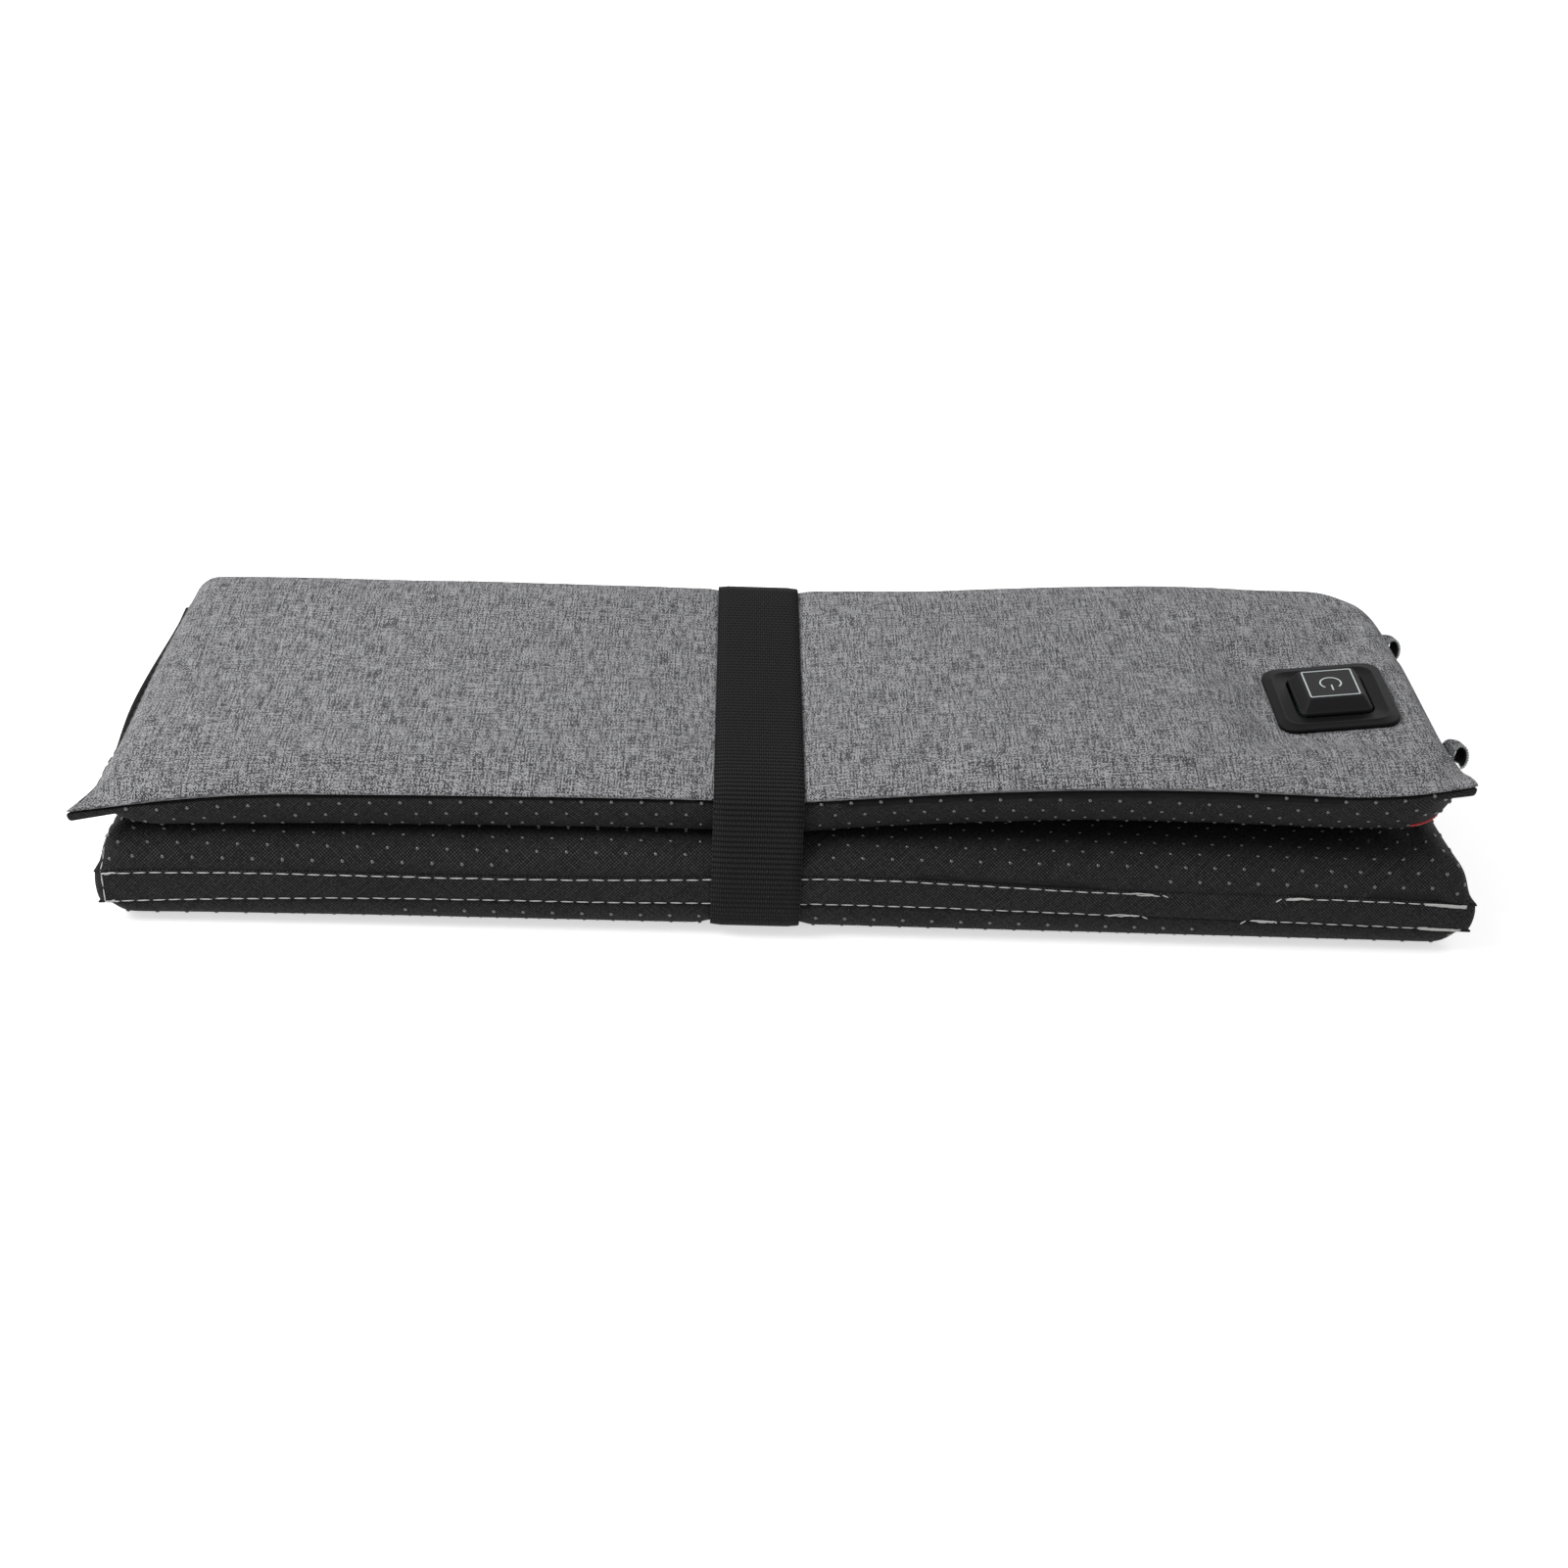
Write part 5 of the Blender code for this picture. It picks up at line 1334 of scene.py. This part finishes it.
class ButtonOperator(bpy.types.Operator):
    """Make the silicone flange, the button and its printed power sign"""

    bl_idname = "cushion.button"
    bl_label = "Button"

    def execute(self, context):
        colours = context.scene.cushion_colours
        silicone = plain_material("silicone", colours.silicone, 0.5, 1800.0, 0.12, 0.03 * MM, specular=0.1)
        ink = plain_material("printed_ink", colours.print, 0.6, 2500.0, 0.1, 0.01 * MM)
        patch = plain_material(
            "silicone_patch", [0.4 * c for c in colours.silicone], 0.5, 1800.0, 0.12, 0.03 * MM, specular=0.1
        )
        settle(self.make_flange(patch), "top_panel", "silicone", "button_flange")
        settle(self.make_button(silicone), "power_button", "silicone", "power_button")
        for name, made in (("printed_frame", self.frame_print()), ("power_sign", self.power_print())):
            settle(object_from(name, made, ink, smooth_faces=False), "power_button", "silicone")
        return {"FINISHED"}

    def plate(self, size, low, high, corner, segments=6):
        """A square plate with rounded corners, between two levels."""
        made = boxed(Vector((-size / 2, -size / 2, low)), Vector((size / 2, size / 2, high)))
        upright = [e for e in made.edges if abs(e.verts[0].co.z - e.verts[1].co.z) > (high - low) / 2]
        bmesh.ops.bevel(
            made, geom=upright, offset=corner, segments=segments, profile=0.5, affect="EDGES", material=-1
        )
        return made

    def top_of(self, made):
        return max(made.faces, key=lambda face: face.calc_center_median().z)

    def terrace(self, made, face, width, steps):
        """Repeats a face's outline at each step's width and lifts the face by its height, both in mm."""
        for inner, lift in steps:
            factor = inner / width
            bmesh.ops.inset_region(made, faces=[face], thickness=0.02 * MM)
            centre = Vector((0, 0, face.calc_center_median().z))
            bmesh.ops.scale(
                made, vec=(factor, factor, 1), space=Matrix.Translation(-centre), verts=face.verts
            )
            bmesh.ops.translate(made, vec=(0, 0, lift * MM), verts=face.verts)
            width = inner

    def make_flange(self, material):
        """The flat frame with a raised bead inside its edge and a square opening for the button."""
        made = self.plate(FLANGE_SIDE, 0, 1.0 * MM, 5 * MM)
        top = self.top_of(made)
        steps = (34.4, 0.2), (31.2, 0), (30.4, 0.4), (29.4, 0), (28.6, -0.4), (23, 0), (22.3, -0.2)
        self.terrace(made, top, FLANGE_SIDE / MM, steps)
        floor = min(made.faces, key=lambda face: face.calc_center_median().z)
        outer = list(floor.edges)
        grown = bmesh.ops.extrude_edge_only(made, edges=top.edges[:])["geom"]
        inner = [edge for edge in only(bmesh.types.BMEdge, grown) if edge.is_boundary]
        for vert in {vert for edge in inner for vert in edge.verts}:
            vert.co.z = 0
        bmesh.ops.delete(made, geom=[top, floor], context="FACES_ONLY")
        bmesh.ops.bridge_loops(made, edges=outer + inner)
        bmesh.ops.recalc_face_normals(made, faces=made.faces[:])
        made.transform(CONTROLLER_FRAME)
        return object_from("silicone_flange", made, material)

    def make_button(self, material):
        """A square cap with sloping sides, on a narrower foot that goes down into the case."""
        made = self.plate(17 * MM, -1 * MM, 0.9 * MM, 1.3 * MM, 4)
        steps = (21, 0), (21, 1.0), (20.2, 0.4), (16.4, 3.0), (15.8, 0.25)
        self.terrace(made, self.top_of(made), 17, steps)
        made.transform(CONTROLLER_FRAME)
        bmesh.ops.recalc_face_normals(made, faces=made.faces[:])
        piece = object_from("silicone_button", made, material, smooth_faces=False)
        soft = piece.modifiers.new("soft edge", "BEVEL")
        soft.width, soft.segments, soft.limit_method = 0.25 * MM, 2, "ANGLE"
        return piece

    def frame_print(self):
        """A thin square line, as printed ink."""
        made = self.plate(14.6 * MM, 5 * MM, PRINT_LEVEL, 0.5 * MM, 3)
        top = self.top_of(made)
        bmesh.ops.delete(made, geom=[face for face in made.faces if face is not top], context="FACES")
        bmesh.ops.inset_region(made, faces=[top], thickness=0.42 * MM, use_boundary=True)
        bmesh.ops.delete(made, geom=[top], context="FACES_ONLY")
        made.transform(CONTROLLER_FRAME)
        return made

    def power_print(self):
        """The usual sign for power: a ring open at one side and a bar in the opening."""
        made = bmesh.new()
        z, width, radius, gap = PRINT_LEVEL, 0.45 * MM, 3.0 * MM, math.radians(42)
        inner = Vector((0, -(radius - width / 2), z))
        pair = [made.verts.new(inner), made.verts.new(inner - Vector((0, width, 0)))]
        bar = made.edges.new(pair)
        turn = Matrix.Rotation(gap, 3, "Z")
        for vert in pair:
            vert.co = turn @ vert.co
        bmesh.ops.spin(
            made, geom=[*pair, bar], cent=(0, 0, z), axis=(0, 0, 1), dvec=(0, 0, 0),
            angle=2 * (math.pi - gap), steps=40, use_merge=False, use_duplicate=False,
        )
        grid = bmesh.ops.create_grid(made, x_segments=1, y_segments=1, size=0.5)["verts"]
        bmesh.ops.scale(made, vec=(width, radius, 1), verts=grid)
        bmesh.ops.translate(made, vec=(0, -2.6 * MM, z), verts=grid)
        bmesh.ops.recalc_face_normals(made, faces=made.faces[:])
        if next(iter(made.faces)).normal.z < 0:
            bmesh.ops.reverse_faces(made, faces=made.faces[:])
        made.transform(CONTROLLER_FRAME)
        return made


class StrapOperator(bpy.types.Operator):
    """Make the ribbed elastic strap and its sewn overlap"""

    bl_idname = "cushion.strap"
    bl_label = "Strap"

    def execute(self, context):
        sizes = context.scene.cushion_sizes
        low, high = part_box("strap_end")
        flap = [Vector((0, high.y, z)) for z in (low.z, (low.z + high.z) / 2, high.z)]
        for name, path, closed, node in (
            ("webbing_loop", self.outer_loop("strap"), True, "strap"),
            ("webbing_overlap", flap, False, "strap_end"),
        ):
            piece = self.webbing(name, path, closed, webbing_material(), sizes)
            settle(piece, "strap", "strap_webbing", node)
        made = bmesh.new()
        rng = random.Random(3)
        margin = 2.5 * MM
        x0, x1 = STRAP_X - STRAP_HALF + margin, STRAP_X + STRAP_HALF - margin
        z0, z1 = low.z + margin, high.z - margin
        corners = (x0, z0), (x1, z0), (x1, z1), (x0, z1), (x0, z0), (x1, z1)
        places = [Vector((x, high.y, z)) for x, z in corners]
        for a, b in zip(places, places[1:]):
            stitch_line(made, [a, b], -FRONT, sizes, rng)
        dark = thread_material("dark_thread", context.scene.cushion_colours.dark_thread)
        settle(object_from("strap_overlap_stitches", made, dark), "strap", "strap_webbing")
        return {"FINISHED"}

    def outer_loop(self, node):
        """The convex outline of the solid strap in Y and Z, seen from its end."""
        flat = sorted({(round(v.co.y, 6), round(v.co.z, 6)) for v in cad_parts[node].data.vertices})
        order = geometry.convex_hull_2d([Vector(p) for p in flat])
        return [Vector((0, *flat[i])) for i in order]

    def webbing(self, name, path, closed, material, sizes):
        """A band that follows a path in Y and Z, ribbed across its length."""
        if closed:
            path = path + path[:1]
        total = sum((b - a).length for a, b in zip(path, path[1:]))
        count = max(1, round(total / sizes.rib)) * 4
        line = polyline(path, total / count * 0.99999)[: count + (0 if closed else 1)]
        for _ in range(3 if closed else 0):
            line = [(line[i - 1] + 2 * p + line[(i + 1) % len(line)]) / 4 for i, p in enumerate(line)]
        centre = sum(line, Vector()) / len(line)
        columns, edge_share, edge_drop, sink = 9, 0.2, 0.35 * MM, 0.1 * MM
        rows = []
        for i, point in enumerate(line):
            after, before = line[(i + 1) % len(line)], line[i - 1]
            if not closed:
                after, before = line[min(i + 1, len(line) - 1)], line[max(i - 1, 0)]
            tangent = (after - before).normalized()
            normal = Vector((0, tangent.z, -tangent.y))
            if closed and normal.dot(point - centre) < 0:
                normal = -normal
            if not closed:
                normal = Vector((0, 1, 0))
            rib = sizes.rib_height * math.sin(math.pi / 2 * i) * 0.5
            row = []
            for c in range(columns):
                across = 2 * c / (columns - 1) - 1
                edge = edge_drop * max(0, abs(across) - (1 - edge_share)) / edge_share
                place = point + normal * (rib - edge - sink)
                if closed and point.z > 2.5 * PAD_THICKNESS:
                    place.z += back_lift(STRAP_X, point.y)
                row.append(Vector((STRAP_X + STRAP_HALF * across, place.y, place.z)))
            rows.append(row)
        made = bmesh.new()
        span = total / len(line)
        first = [made.verts.new(p) for p in rows[0]]
        edges = [made.edges.new(pair) for pair in zip(first, first[1:])]
        places = {vert: (vert.co.x, 0.0) for vert in first}
        for j, row in enumerate(rows[1:], 1):
            grown = bmesh.ops.extrude_edge_only(made, edges=edges)["geom"]
            verts = sorted(only(bmesh.types.BMVert, grown), key=lambda vert: vert.co.x)
            edges = [
                edge for edge in only(bmesh.types.BMEdge, grown)
                if edge.is_boundary and all(vert in verts for vert in edge.verts)
            ]
            for vert, place in zip(verts, row):
                vert.co = place
                places[vert] = (place.x, j * span)
        if closed:
            start = [edge for edge in made.edges if all(vert in first for vert in edge.verts)]
            bmesh.ops.bridge_loops(made, edges=edges + start)
        bmesh.ops.recalc_face_normals(made, faces=made.faces[:])
        write_map(made, places)
        piece = object_from(name, made, material)
        thicken(piece, 1.1 * MM)
        return piece


class InsideOperator(bpy.types.Operator):
    """Give the parts inside the pads their materials"""

    bl_idname = "cushion.inside"
    bl_label = "Inner parts"

    finishes = (
        (
            "heater_sheath", (0.12, 0.1, 0.1), 0.5, 1500.0,
            ("bottom_heating_cord", "middle_heating_cord", "top_heating_cord"),
        ),
        (
            "lead_sheath", (0.5, 0.03, 0.03), 0.45, 1500.0,
            ("front_jumper_lead", "back_jumper_lead", "controller_lead"),
        ),
        (
            "case_plastic", (0.05, 0.05, 0.055), 0.5, 2200.0,
            ("controller_case", "controller_base", "thermal_cutout"),
        ),
        ("board_green", (0.02, 0.16, 0.07), 0.4, 1200.0, ("circuit_board",)),
        ("switch_metal", (0.6, 0.6, 0.6), 0.3, 3000.0, ("tact_switch",)),
        ("lamp_lens", (0.85, 0.85, 0.8), 0.2, 800.0, ("status_lamp",)),
    )

    def execute(self, context):
        grain, depth = 0.08, 0.02 * MM
        for name, base, roughness, scale, nodes in self.finishes:
            metallic = 1.0 if name == "switch_metal" else 0.0
            material = plain_material(name, base, roughness, scale, grain, depth, metallic=metallic)
            for node in nodes:
                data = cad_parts[node].data
                data.materials.clear()
                data.materials.append(material)
        return {"FINISHED"}


class CushionPanel(bpy.types.Panel):
    """Buttons for each group of pieces, with the sizes and colours"""

    bl_idname = "VIEW3D_PT_cushion"
    bl_label = "Heated seat cushion"
    bl_space_type = "VIEW_3D"
    bl_region_type = "UI"
    bl_category = "Cushion"

    def draw(self, context):
        for operator in OPERATORS:
            self.layout.operator(operator.bl_idname)
        for group in (getattr(context.scene, name) for name in GROUPS):
            box = self.layout.box()
            for name in group.__annotations__:
                box.prop(group, name)


OPERATORS = (
    StageOperator, CoversOperator, CoresOperator, HingesOperator, DotsOperator, StitchesOperator,
    PocketOperator, ButtonOperator, StrapOperator, InsideOperator,
)
GROUPS = {"cushion_sizes": CushionSizes, "cushion_colours": CushionColours, "cushion_stage": CushionStage}


def register():
    for made in (*GROUPS.values(), *OPERATORS, CushionPanel):
        bpy.utils.register_class(made)
    for name, group in GROUPS.items():
        setattr(bpy.types.Scene, name, PointerProperty(type=group))


def unregister():
    for name in GROUPS:
        delattr(bpy.types.Scene, name)
    for made in reversed((*GROUPS.values(), *OPERATORS, CushionPanel)):
        bpy.utils.unregister_class(made)


def main():
    register()
    for operator in OPERATORS:
        getattr(bpy.ops.cushion, operator.bl_idname.split(".")[1])()


if __name__ == "__main__":
    main()
